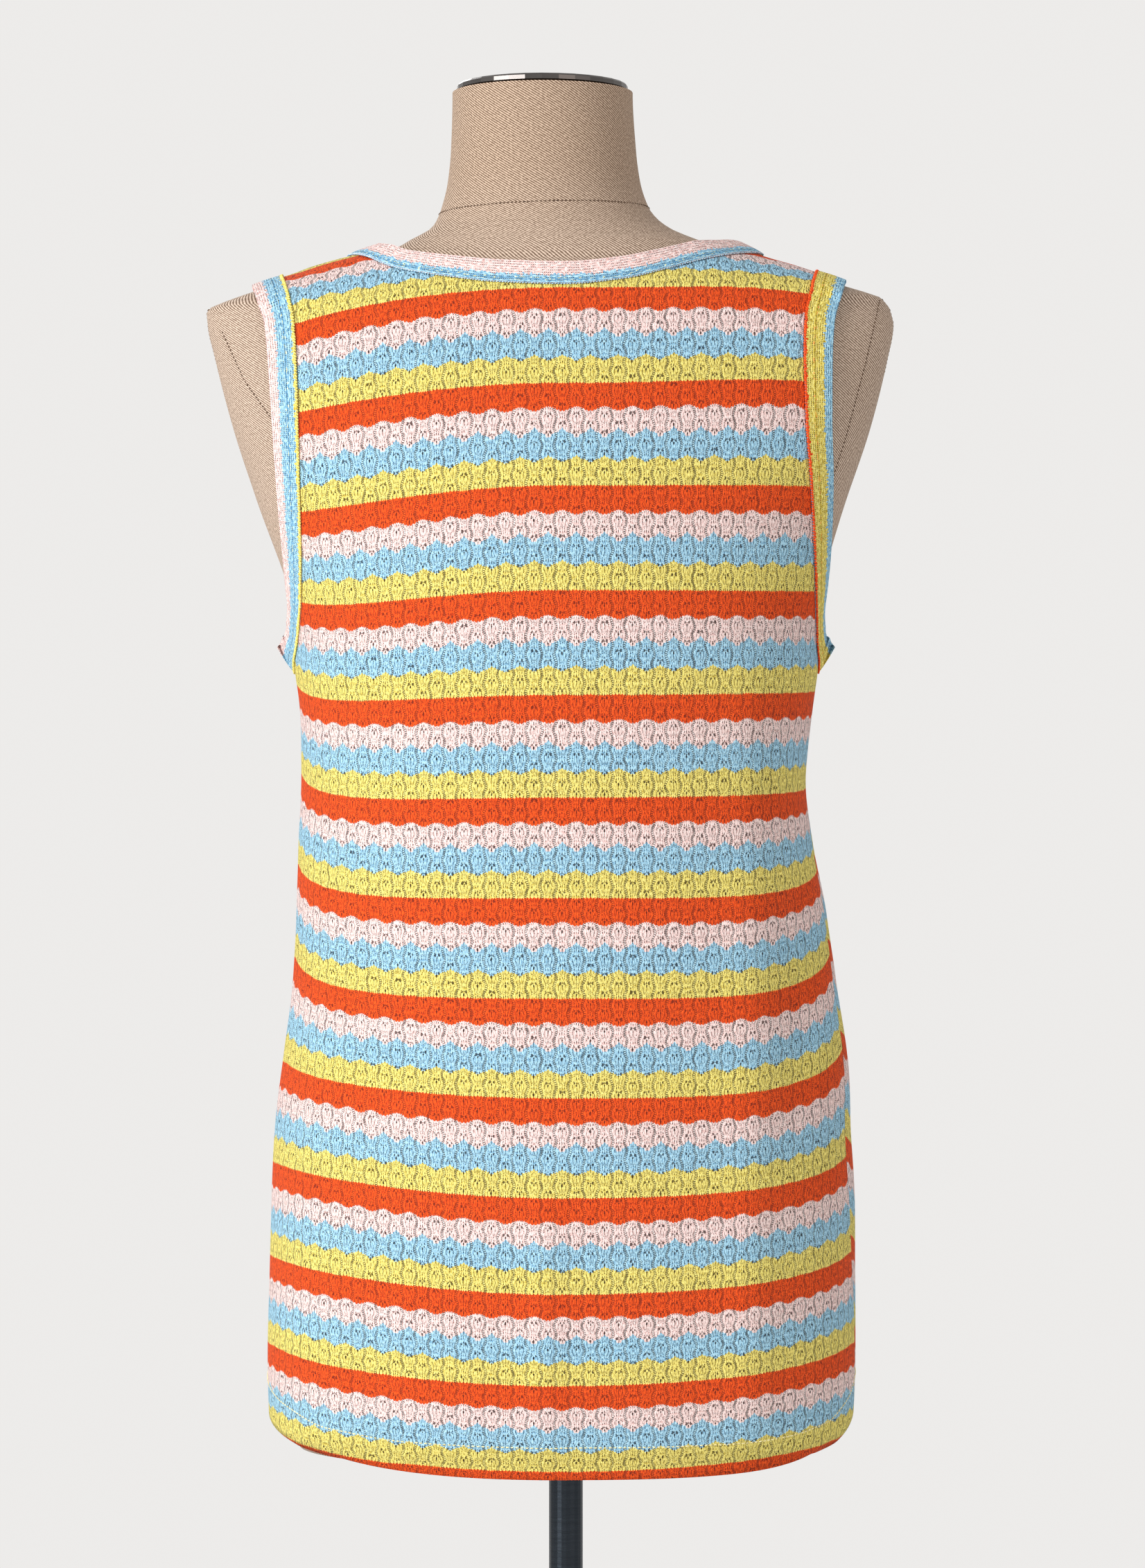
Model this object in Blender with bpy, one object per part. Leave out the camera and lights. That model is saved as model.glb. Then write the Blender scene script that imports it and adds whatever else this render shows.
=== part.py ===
"""Striped lace-knit tank top standing on a limbless dress form with a round foot.

Metres, +Z up. The origin is on the floor under the pole. The garment's back faces -Y,
and its left and right here are those of someone who looks at that back.
"""
import math
from bisect import bisect_right
from collections import namedtuple

import bpy
from mathutils import Vector

for old in list(bpy.data.objects):
    bpy.data.objects.remove(old, do_unlink=True)

# Cloth
WALL = 0.0016
HEM_WALL = 0.0024
HEM_HEIGHT = 0.021
SEAM_GAP = 0.0003
SHOULDER_LIFT = 0.0016
UNDERARM = 0.735
HEM_BACK = 0.3005
HEM_FRONT = 0.3040
HEM_RISE = 0.026
HEM_LEFT_POWER = 2.1
HEM_RIGHT_POWER = 3.7
FOLD_FADE_POWER = 8
FOLD_END = 0.06
BESIDE_SEAM = 0.99

# Points across a panel, and rows below and above the underarm
COLUMNS = 28
SHOULDER_COLUMNS = 3
LOWER_ROWS = 13
UPPER_ROWS = 16
ROW_CROWDING = 1.7
BACK_CROWDING = 1.15
FRONT_CROWDING = 1.6

# Bands
NECKBAND_WIDTH = 0.0125
NECKBAND_WALL = 0.0026
NECKBAND_LEAN = 0.16
ARMBAND_WIDTH = 0.0172
ARMBAND_WALL = 0.0026
ARMBAND_LEAN = -0.03
UNDERARM_FLARE = 0.50
UNDERARM_FLARE_HEIGHT = 0.030

# Stand
FORM_POINTS = 32
NECK_TOP = 1.0568
FORM_BOTTOM = 0.306
CAP_RADIUS = 0.0475
CAP_THICKNESS = 0.0042
CAP_EDGE = 0.001
CAP_CROWN = 0.001
CAP_CENTRE = (-0.0131, 0.0095)
POLE_RADIUS = 0.0094
POLE_SIDES = 24
FLANGE_RADIUS = 0.036
FLANGE_THICKNESS = 0.004
BASE_RADIUS = 0.21
BASE_THICKNESS = 0.009
BASE_EDGE = 0.003
BASE_SIDES = 64
HUB_RADIUS = 0.030
HUB_FOOT = 0.003
HUB_WAIST = 0.0186
HUB_NECK = 0.0140
HUB_HEIGHT = 0.028
TOUCH_GAP = 0.0003

# The form's level sections: centre across, half width, where its side line runs,
# how far the back and the front reach, and how square the outline is
Section = namedtuple("Section", "height centre half mid back front square")
FORM = [
    Section(0.3060, -0.0015, 0.1460, 0.000, 0.0935, 0.0950, 2.20),
    Section(0.3120, -0.0015, 0.1515, 0.000, 0.0985, 0.0995, 2.20),
    Section(0.3240, -0.0015, 0.1545, 0.000, 0.1010, 0.1020, 2.25),
    Section(0.3600, -0.0015, 0.1555, 0.000, 0.1040, 0.1045, 2.25),
    Section(0.4000, -0.0012, 0.1550, 0.000, 0.1050, 0.1040, 2.25),
    Section(0.4400, -0.0010, 0.1520, 0.000, 0.1030, 0.1020, 2.20),
    Section(0.4800, -0.0010, 0.1435, 0.000, 0.0960, 0.0975, 2.20),
    Section(0.5200, -0.0018, 0.1290, 0.000, 0.0860, 0.0930, 2.15),
    Section(0.5600, -0.0030, 0.1170, 0.000, 0.0800, 0.0910, 2.15),
    Section(0.6000, -0.0040, 0.1150, 0.000, 0.0800, 0.0940, 2.15),
    Section(0.6400, -0.0050, 0.1190, 0.000, 0.0850, 0.1010, 2.15),
    Section(0.6800, -0.0055, 0.1260, 0.000, 0.0910, 0.1100, 2.15),
    Section(0.7200, -0.0055, 0.1330, 0.000, 0.0960, 0.1165, 2.15),
    Section(0.7500, -0.0058, 0.1385, 0.000, 0.0985, 0.1170, 2.15),
    Section(0.7700, -0.0062, 0.1440, -0.001, 0.0995, 0.1155, 2.10),
    Section(0.7920, -0.0068, 0.1508, -0.002, 0.0995, 0.1125, 2.05),
    Section(0.8300, -0.0080, 0.1635, -0.005, 0.0975, 0.1050, 1.98),
    Section(0.8690, -0.0078, 0.1763, -0.008, 0.0900, 0.0940, 1.95),
    Section(0.9070, -0.0080, 0.1858, -0.011, 0.0775, 0.0805, 1.90),
    Section(0.9264, -0.0085, 0.1894, -0.012, 0.0700, 0.0710, 1.87),
    Section(0.9333, -0.0095, 0.1888, -0.012, 0.0674, 0.0672, 1.85),
    Section(0.9375, -0.0068, 0.1835, -0.012, 0.0661, 0.0657, 1.82),
    Section(0.9410, -0.0040, 0.1770, -0.012, 0.0650, 0.0641, 1.80),
    Section(0.9460, -0.0040, 0.1610, -0.012, 0.0633, 0.0620, 1.79),
    Section(0.9511, -0.0048, 0.1434, -0.012, 0.0615, 0.0597, 1.77),
    Section(0.9550, -0.0057, 0.1321, -0.012, 0.0600, 0.0583, 1.76),
    Section(0.9588, -0.0056, 0.1193, -0.011, 0.0587, 0.0572, 1.76),
    Section(0.9624, -0.0035, 0.1060, -0.010, 0.0573, 0.0562, 1.77),
    Section(0.9694, -0.0042, 0.0877, -0.008, 0.0543, 0.0552, 1.84),
    Section(0.9730, -0.0066, 0.0796, -0.006, 0.0527, 0.0549, 1.87),
    Section(0.9793, -0.0084, 0.0669, -0.003, 0.0500, 0.0548, 1.93),
    Section(0.9850, -0.0102, 0.0614, 0.001, 0.0478, 0.0551, 1.98),
    Section(0.9918, -0.0115, 0.0577, 0.004, 0.0460, 0.0560, 2.00),
    Section(1.0072, -0.0122, 0.0535, 0.008, 0.0432, 0.0580, 2.00),
    Section(1.0250, -0.0125, 0.0515, 0.009, 0.0415, 0.0595, 2.00),
    Section(1.0568, -0.0130, 0.0502, 0.010, 0.0402, 0.0602, 2.00),
]

# How far the cloth's inside stands off the form on each side
Ease = namedtuple("Ease", "height left right back front")
EASE = [
    Ease(0.2900, 0.0075, 0.0050, 0.0065, 0.0080),
    Ease(0.3400, 0.0070, 0.0050, 0.0055, 0.0075),
    Ease(0.4000, 0.0065, 0.0050, 0.0060, 0.0090),
    Ease(0.4400, 0.0085, 0.0075, 0.0080, 0.0110),
    Ease(0.4800, 0.0150, 0.0135, 0.0135, 0.0160),
    Ease(0.5200, 0.0240, 0.0270, 0.0205, 0.0210),
    Ease(0.5600, 0.0300, 0.0345, 0.0245, 0.0240),
    Ease(0.6000, 0.0290, 0.0320, 0.0235, 0.0230),
    Ease(0.6400, 0.0230, 0.0215, 0.0180, 0.0175),
    Ease(0.6800, 0.0140, 0.0115, 0.0115, 0.0095),
    Ease(0.7200, 0.0085, 0.0090, 0.0060, 0.0030),
    Ease(0.7350, 0.0080, 0.0085, 0.0042, 0.0020),
    Ease(0.7500, 0.0052, 0.0057, 0.0034, 0.0020),
    Ease(0.7730, 0.0034, 0.0034, 0.0026, 0.0020),
    Ease(0.8000, 0.0024, 0.0024, 0.0022, 0.0020),
    Ease(0.8500, 0.0020, 0.0020, 0.0020, 0.0020),
    Ease(1.1000, 0.0020, 0.0020, 0.0020, 0.0020),
]

# Where each panel's cloth ends at the armhole, as places across
Edge = namedtuple("Edge", "height left right")
BACK_ARMHOLE = [
    Edge(0.7500, -0.1457, 0.1364),
    Edge(0.7733, -0.1429, 0.1352),
    Edge(0.7971, -0.1425, 0.1340),
    Edge(0.8374, -0.1432, 0.1316),
    Edge(0.8695, -0.1441, 0.1292),
    Edge(0.9049, -0.1458, 0.1286),
    Edge(0.9261, -0.1476, 0.1296),
    Edge(0.9440, -0.1530, 0.1340),
    Edge(0.9515, -0.1560, 0.1368),
    Edge(0.9540, -0.1560, 0.1380),
]
FRONT_ARMHOLE = [
    Edge(0.7500, -0.1425, 0.1330),
    Edge(0.7733, -0.1360, 0.1270),
    Edge(0.7971, -0.1325, 0.1235),
    Edge(0.8374, -0.1310, 0.1205),
    Edge(0.8695, -0.1325, 0.1205),
    Edge(0.9049, -0.1380, 0.1235),
    Edge(0.9261, -0.1435, 0.1275),
    Edge(0.9440, -0.1520, 0.1335),
    Edge(0.9515, -0.1560, 0.1366),
    Edge(0.9540, -0.1560, 0.1380),
]
SHOULDER_TIP_LEFT = -0.1560
SHOULDER_TIP_RIGHT = 0.1380
NECK_LEFT = -0.1198
NECK_RIGHT = 0.1083

# The neck seam between those two points, as height at a place across
Neck = namedtuple("Neck", "across height")
BACK_NECK = [
    Neck(-0.0897, 0.9512),
    Neck(-0.0633, 0.9464),
    Neck(-0.0350, 0.9432),
    Neck(0.0000, 0.9421),
    Neck(0.0313, 0.9452),
    Neck(0.0555, 0.9511),
    Neck(0.0803, 0.9582),
]
FRONT_NECK = [
    Neck(-0.1080, 0.9350),
    Neck(-0.0860, 0.9060),
    Neck(-0.0560, 0.8840),
    Neck(-0.0060, 0.8740),
    Neck(0.0440, 0.8840),
    Neck(0.0740, 0.9060),
    Neck(0.0960, 0.9350),
]

# How far the right side seam swings towards the back, in degrees round the section
Swing = namedtuple("Swing", "height turn")
RIGHT_SEAM = [
    Swing(0.3000, 3.0),
    Swing(0.3700, 8.0),
    Swing(0.4200, 13.0),
    Swing(0.4600, 15.0),
    Swing(0.5400, 12.0),
    Swing(0.6000, 10.0),
    Swing(0.6600, 4.0),
    Swing(0.7000, 0.0),
    Swing(0.7400, 0.0),
]

# Soft upright folds: place across, ends, half width and how far they stand out
Fold = namedtuple("Fold", "across bottom top spread rise")
BACK_FOLDS = [
    Fold(-0.0115, 0.290, 0.480, 0.011, 0.0026),
    Fold(0.1000, 0.290, 0.760, 0.015, 0.0034),
    Fold(0.1265, 0.470, 0.670, 0.010, -0.0042),
    Fold(-0.1300, 0.300, 0.640, 0.016, 0.0026),
]
FRONT_FOLDS = [
    Fold(0.0700, 0.295, 0.640, 0.017, 0.0036),
    Fold(-0.0500, 0.290, 0.560, 0.015, 0.0032),
    Fold(-0.1150, 0.295, 0.700, 0.016, 0.0028),
]

MATERIALS = {
    "knit_back": ((0.42, 0.62, 0.74), 0.0, 0.85),
    "knit_front": ((0.44, 0.60, 0.72), 0.0, 0.85),
    "knit_neckband": ((0.85, 0.62, 0.58), 0.0, 0.85),
    "knit_band_left": ((0.40, 0.63, 0.78), 0.0, 0.85),
    "knit_band_right": ((0.78, 0.66, 0.22), 0.0, 0.85),
    "form_canvas": ((0.38, 0.31, 0.25), 0.0, 0.90),
    "cap_chrome": ((0.25, 0.26, 0.27), 1.0, 0.25),
    "pole_steel": ((0.10, 0.12, 0.14), 0.8, 0.40),
    "base_steel": ((0.10, 0.12, 0.14), 0.6, 0.45),
}


def make_material(name):
    colour, metallic, roughness = MATERIALS[name]
    material = bpy.data.materials.new(name)
    material.use_nodes = True
    shader = material.node_tree.nodes["Principled BSDF"]
    shader.inputs["Base Color"].default_value = (*colour, 1.0)
    shader.inputs["Metallic"].default_value = metallic
    shader.inputs["Roughness"].default_value = roughness
    return material


def add_object(name, points, faces, material, smooth_angle=50):
    mesh = bpy.data.meshes.new(name)
    mesh.from_pydata([tuple(p) for p in points], [], faces)
    mesh.materials.append(make_material(material))
    mesh.shade_smooth()
    mesh.set_sharp_from_angle(angle=math.radians(smooth_angle))
    made = bpy.data.objects.new(name, mesh)
    bpy.context.scene.collection.objects.link(made)
    return made


def slope(keys, values, i):
    """Slope at a key that never lets the curve overshoot its neighbours."""
    if i == 0 or i == len(keys) - 1:
        return 0.0
    before = (values[i] - values[i - 1]) / (keys[i] - keys[i - 1])
    after = (values[i + 1] - values[i]) / (keys[i + 1] - keys[i])
    if before * after <= 0.0:
        return 0.0
    return 2.0 * before * after / (before + after)


def read(table, key):
    """Every column of a table, read smoothly at a value of its first column."""
    keys = [row[0] for row in table]
    key = min(max(key, keys[0]), keys[-1])
    i = min(max(bisect_right(keys, key) - 1, 0), len(keys) - 2)
    span = keys[i + 1] - keys[i]
    t = (key - keys[i]) / span
    found = [key]
    for column in range(1, len(table[0])):
        values = [row[column] for row in table]
        start = slope(keys, values, i) * span
        end = slope(keys, values, i + 1) * span
        found.append(
            values[i] * (1 + 2 * t) * (1 - t) ** 2
            + start * t * (1 - t) ** 2
            + values[i + 1] * t * t * (3 - 2 * t)
            - end * t * t * (1 - t)
        )
    return type(table[0])(*found)


def cloth_section(height):
    """The cloth's inner outline at a height: the form's, let out by the ease."""
    form = read(FORM, height - SHOULDER_LIFT)
    ease = read(EASE, height)
    return Section(
        height,
        form.centre + (ease.right - ease.left) / 2,
        form.half + (ease.left + ease.right) / 2,
        form.mid,
        form.back + ease.back,
        form.front + ease.front,
        form.square,
    )


def reach(section, facing):
    """Half depth from the side line to the back (facing -1) or the front (1)."""
    return section.front - section.mid if facing > 0 else section.back + section.mid


def depth(across, height, facing):
    """Y of the cloth's inside at a place across and a height."""
    section = cloth_section(height)
    share = min(abs(across - section.centre) / section.half, 1.0)
    out = (1.0 - share**section.square) ** (1.0 / section.square)
    return section.mid + facing * reach(section, facing) * out


def fold_rise(across, height, folds):
    rise = 0.0
    for fold in folds:
        end = min(height - fold.bottom, fold.top - height) / FOLD_END
        if end > 0.0:
            side = (across - fold.across) / fold.spread
            rise += fold.rise * min(end, 1.0) * math.exp(-side * side)
    return rise


def fullness(point):
    """Above 1 outside the cloth's inner surface, and 1 on it."""
    section = cloth_section(point.z)
    across = abs(point.x - section.centre) / section.half
    along = abs(point.y - section.mid) / reach(section, point.y - section.mid)
    return across**section.square + along**section.square


def outward(point):
    """Unit direction that points straight out of the cloth at a point on it."""
    step = 0.0002
    found = []
    for axis in (Vector((step, 0, 0)), Vector((0, step, 0)), Vector((0, 0, step))):
        found.append(fullness(point + axis) - fullness(point - axis))
    return Vector(found).normalized()


def ridge_height(across):
    """Height of the shoulder line, where the section is just as wide as this place."""
    low, high = 0.936, 1.03
    for _ in range(40):
        middle = (low + high) / 2
        section = cloth_section(middle)
        if abs(across - section.centre) < section.half:
            low = middle
        else:
            high = middle
    return low


class Panel:
    """The cut of the back or the front: its edges, and points on its inside."""

    def __init__(self, facing, hem, armhole, neck, neck_crowding, folds):
        self.facing = facing
        self.neck_crowding = neck_crowding
        self.hem = hem
        self.armhole = [Edge(UNDERARM, *self.side_places(UNDERARM))] + armhole
        left = Neck(NECK_LEFT, ridge_height(NECK_LEFT))
        right = Neck(NECK_RIGHT, ridge_height(NECK_RIGHT))
        self.neck = [left] + neck + [right]
        self.folds = folds

    def side_places(self, height):
        section = cloth_section(height)
        return section.centre - section.half, section.centre + section.half

    def point(self, across, height, seam=False):
        """Inner point of the cloth; one at a seam stops half the seam gap short."""
        y = depth(across, height, self.facing)
        y += self.facing * fold_rise(across, height, self.folds)
        if seam:
            y = cloth_section(height).mid + self.facing * SEAM_GAP / 2
        return Vector((across, y, height))

    def armhole_place(self, height, side):
        edge = read(self.armhole, height)
        return edge.left if side < 0 else edge.right

    def top_place(self, share):
        """Place across of the top edge, for -1 at the left tip to 1 at the right."""
        neck_share = 1 - 2 * SHOULDER_COLUMNS / COLUMNS
        neck = NECK_LEFT if share < 0 else NECK_RIGHT
        tip = SHOULDER_TIP_LEFT if share < 0 else SHOULDER_TIP_RIGHT
        if abs(share) <= neck_share + 1e-9:
            left_over = max(0.0, 1 - abs(share) / neck_share)
            return neck * (1 - left_over**self.neck_crowding)
        past = (abs(share) - neck_share) / (1 - neck_share)
        return neck + (tip - neck) * past

    def top_height(self, across):
        if NECK_LEFT < across < NECK_RIGHT:
            return read(self.neck, across).height
        return ridge_height(across)

    def around(self, height, turn, fold_share):
        """Inner point at a turn round the section, with a share of the folds' rise."""
        section = cloth_section(height)
        power = 2 / section.square
        sideways, forwards = math.sin(turn), math.cos(turn)
        across = section.centre + math.copysign(
            section.half * abs(sideways) ** power, sideways
        )
        facing = math.copysign(self.facing, self.facing * forwards)
        y = section.mid + facing * reach(section, facing) * abs(forwards) ** power
        y += self.facing * fold_rise(across, height, self.folds) * fold_share
        return Vector((across, y, height))

    def lower_point(self, share, rise):
        """A point below the underarm, with rise from 0 at the hem to 1."""
        power = HEM_LEFT_POWER if share < 0 else HEM_RIGHT_POWER
        hem = self.hem + HEM_RISE * abs(share) ** power
        height = hem + (UNDERARM - hem) * rise
        quarter = math.pi / 2
        if share > 0:
            quarter += self.facing * math.radians(read(RIGHT_SEAM, height).turn)
        flat = 1 - abs(share) ** FOLD_FADE_POWER
        found = self.around(height, share * quarter, flat)
        if abs(share) > 0.999:
            before = self.around(height, share * quarter * BESIDE_SEAM, flat)
            found += (before - found).normalized() * SEAM_GAP / 2
        return found

    def upper_point(self, share, rise):
        """A point above the underarm, with rise from 0 there to 1 at the top edge."""
        tip = SHOULDER_TIP_LEFT if share < 0 else SHOULDER_TIP_RIGHT
        top_across = self.top_place(share)
        height = UNDERARM + (self.top_height(top_across) - UNDERARM) * rise
        edge_height = UNDERARM + (ridge_height(tip) - UNDERARM) * rise
        side = -1 if share < 0 else 1
        low_turn = (self.lower_point(share, 1.0).x) / self.armhole_place(UNDERARM, side)
        blend = rise * rise * (3 - 2 * rise)
        turn = low_turn + (top_across / tip - low_turn) * blend
        across = self.armhole_place(edge_height, side) * turn
        if abs(share) > 0.999:
            across = self.armhole_place(height, side)
        at_shoulder = rise > 0.999 and abs(top_across) >= abs(
            NECK_LEFT if share < 0 else NECK_RIGHT
        ) - 1e-9
        at_side = rise < 1e-9 and abs(share) > 0.999
        return self.point(across, height, seam=at_shoulder or at_side)

    def rows(self):
        shares = [2 * c / COLUMNS - 1 for c in range(COLUMNS + 1)]
        hem_rise = HEM_HEIGHT / (UNDERARM - self.hem)
        rises = [0.0, hem_rise * 0.97, hem_rise * 1.03]
        rises += [hem_rise + (1 - hem_rise) * r / LOWER_ROWS for r in range(1, LOWER_ROWS + 1)]
        grid = [[self.lower_point(s, r) for s in shares] for r in rises]
        for r in range(1, UPPER_ROWS + 1):
            rise = 1 - (1 - r / UPPER_ROWS) ** ROW_CROWDING
            grid.append([self.upper_point(s, rise) for s in shares])
        return grid


def add_wall(name, inside, outside, material):
    """A closed wall between two like grids of points."""
    rows = len(inside)
    columns = len(inside[0])
    points = [p for row in inside + outside for p in row]
    outer = rows * columns
    faces = []
    for r in range(rows - 1):
        for c in range(columns - 1):
            a = r * columns + c
            quad = (a, a + 1, a + columns + 1, a + columns)
            faces.append(quad[::-1])
            faces.append(tuple(outer + p for p in quad))
    rim = [c for c in range(columns)]
    rim += [r * columns + columns - 1 for r in range(1, rows)]
    rim += [(rows - 1) * columns + c for c in range(columns - 2, -1, -1)]
    rim += [r * columns for r in range(rows - 2, 0, -1)]
    for a, b in zip(rim, rim[1:] + rim[:1]):
        faces.append((a, b, outer + b, outer + a))
    return add_object(name, points, faces, material)


def add_panel(name, panel, material):
    inside = panel.rows()
    if panel.facing > 0:
        inside = [row[::-1] for row in inside]
    outside = []
    for r, row in enumerate(inside):
        wall = HEM_WALL if r < 2 else WALL
        outside.append([p + outward(p) * wall for p in row])
    return add_wall(name, inside, outside, material)


def add_ring(name, sections, material):
    """A closed ring from like cross-sections, each a loop of points."""
    count = len(sections)
    around = len(sections[0])
    points = [p for section in sections for p in section]
    faces = []
    for s in range(count):
        following = (s + 1) % count
        for p in range(around):
            beside = (p + 1) % around
            faces.append(
                (
                    s * around + p,
                    s * around + beside,
                    following * around + beside,
                    following * around + p,
                )
            )
    return add_object(name, points, faces, material)


def band_section(seam, along, normal, away, width, wall, lean):
    """Folded band: its sewn end lies square to the panel, its other edge is round."""
    side = along.cross(normal).normalized()
    if side.dot(away) < 0:
        side = -side
    leaning = (side + normal * lean).normalized()
    thick = (normal - leaning * normal.dot(leaning)).normalized()
    start = seam + side * SEAM_GAP
    outline = [(0.94, 0.0), (1.0, 0.3), (1.0, 0.7), (0.94, 1.0)]
    section = [start]
    section += [start + leaning * width * s + thick * wall * t for s, t in outline]
    section.append(start + normal * wall)
    return section


def add_band(name, seam, target, width, wall, leans, material):
    """Band along a closed seam, turned towards a target."""
    sections = []
    for i, point in enumerate(seam):
        along = (seam[(i + 1) % len(seam)] - seam[i - 1]).normalized()
        away = target - point
        sections.append(
            band_section(point, along, outward(point), away, width, wall, leans[i])
        )
    turning = (seam[1] - seam[0]).cross(sections[0][1] - sections[0][0])
    if turning.dot(sections[0][5] - sections[0][0]) < 0:
        sections = [section[::-1] for section in sections]
    return add_ring(name, sections, material)


def neck_seam(back, front):
    """The neck seam, left to right over the back and back over the front."""
    seam = []
    for panel, step in ((back, 1), (front, -1)):
        top = panel.rows()[-1][SHOULDER_COLUMNS : COLUMNS + 1 - SHOULDER_COLUMNS]
        seam += top[::step][:-1]
    return seam


def armhole_seam(back, front, column):
    """The armhole seam at an end column, up the back and down the front."""
    seam = []
    for panel, step in ((back, 1), (front, -1)):
        edge = [row[column] for row in panel.rows()[-UPPER_ROWS - 1 :]]
        seam += edge[::step][:-1]
    return seam


def add_turned(name, profile, centre, sides, material):
    """Solid of revolution from (radius, height) pairs, closed by flat ends."""
    points, faces = [], []
    for radius, height in profile:
        for s in range(sides):
            turn = 2 * math.pi * s / sides
            x = centre[0] + radius * math.cos(turn)
            points.append((x, centre[1] + radius * math.sin(turn), height))
    for ring in range(len(profile) - 1):
        for s in range(sides):
            beside = (s + 1) % sides
            low, high = ring * sides, (ring + 1) * sides
            faces.append((low + s, low + beside, high + beside, high + s))
    faces.append(tuple(reversed(range(sides))))
    faces.append(tuple(range((len(profile) - 1) * sides, len(profile) * sides)))
    return add_object(name, points, faces, material, smooth_angle=35)


def add_form():
    """The stuffed body and neck, a smooth skin through the table's sections."""
    points, faces = [], []
    for section in FORM:
        for p in range(FORM_POINTS):
            turn = 2 * math.pi * p / FORM_POINTS
            power = 2 / section.square
            c, s = math.cos(turn), math.sin(turn)
            x = section.centre + math.copysign(section.half * abs(c) ** power, c)
            half_depth = reach(section, 1 if s > 0 else -1)
            y = section.mid + math.copysign(half_depth * abs(s) ** power, s)
            points.append((x, y, section.height))
    for ring in range(len(FORM) - 1):
        for p in range(FORM_POINTS):
            beside = (p + 1) % FORM_POINTS
            low, high = ring * FORM_POINTS, (ring + 1) * FORM_POINTS
            faces.append((low + p, low + beside, high + beside, high + p))
    faces.append(tuple(reversed(range(FORM_POINTS))))
    faces.append(tuple(range((len(FORM) - 1) * FORM_POINTS, len(FORM) * FORM_POINTS)))
    return add_object("form_body", points, faces, "form_canvas")


def underarm_lean(height):
    """Lean of an armhole band, more where it stands out under the arm."""
    near = max(0.0, 1 - (height - UNDERARM) / UNDERARM_FLARE_HEIGHT)
    return ARMBAND_LEAN + (UNDERARM_FLARE - ARMBAND_LEAN) * near * near


back = Panel(-1, HEM_BACK, BACK_ARMHOLE, BACK_NECK, BACK_CROWDING, BACK_FOLDS)
front = Panel(1, HEM_FRONT, FRONT_ARMHOLE, FRONT_NECK, FRONT_CROWDING, FRONT_FOLDS)
add_panel("back_panel", back, "knit_back")
add_panel("front_panel", front, "knit_front")

neck_line = neck_seam(back, front)
add_band(
    "neckband",
    neck_line,
    Vector((FORM[-1].centre, 0.0, 1.03)),
    NECKBAND_WIDTH,
    NECKBAND_WALL,
    [NECKBAND_LEAN] * len(neck_line),
    "knit_neckband",
)
for column, side, word in ((0, -1, "left"), (COLUMNS, 1, "right")):
    arm_line = armhole_seam(back, front, column)
    add_band(
        "armhole_band_" + word,
        arm_line,
        Vector((side * 0.30, -0.005, 0.86)),
        ARMBAND_WIDTH,
        ARMBAND_WALL,
        [underarm_lean(point.z) for point in arm_line],
        "knit_band_" + word,
    )

add_form()
cap_bottom = NECK_TOP + TOUCH_GAP
add_turned(
    "neck_cap",
    [
        (CAP_RADIUS - CAP_EDGE, cap_bottom),
        (CAP_RADIUS, cap_bottom + CAP_EDGE),
        (CAP_RADIUS, cap_bottom + CAP_THICKNESS - CAP_EDGE),
        (CAP_RADIUS - CAP_EDGE, cap_bottom + CAP_THICKNESS),
        (CAP_RADIUS / 2, cap_bottom + CAP_THICKNESS + CAP_CROWN),
    ],
    CAP_CENTRE,
    32,
    "cap_chrome",
)
flange_top = FORM_BOTTOM - TOUCH_GAP
flange_bottom = flange_top - FLANGE_THICKNESS
add_turned(
    "pole_flange",
    [(FLANGE_RADIUS, flange_bottom), (FLANGE_RADIUS, flange_top)],
    (0.0, 0.0),
    POLE_SIDES,
    "pole_steel",
)
hub_bottom = BASE_THICKNESS + TOUCH_GAP
hub_top = hub_bottom + HUB_HEIGHT
add_turned(
    "pole",
    [(POLE_RADIUS, hub_top + TOUCH_GAP), (POLE_RADIUS, flange_bottom - TOUCH_GAP)],
    (0.0, 0.0),
    POLE_SIDES,
    "pole_steel",
)
add_turned(
    "base_hub",
    [
        (HUB_RADIUS, hub_bottom),
        (HUB_RADIUS, hub_bottom + HUB_FOOT),
        (HUB_WAIST, hub_bottom + HUB_HEIGHT / 3),
        (HUB_NECK, hub_bottom + HUB_HEIGHT * 3 / 4),
        (HUB_NECK, hub_top),
    ],
    (0.0, 0.0),
    POLE_SIDES,
    "base_steel",
)
add_turned(
    "base_plate",
    [
        (BASE_RADIUS, 0.0),
        (BASE_RADIUS, BASE_THICKNESS - BASE_EDGE),
        (BASE_RADIUS - BASE_EDGE, BASE_THICKNESS),
    ],
    (0.0, 0.0),
    BASE_SIDES,
    "base_steel",
)
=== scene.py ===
import math
from collections import namedtuple

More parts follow.
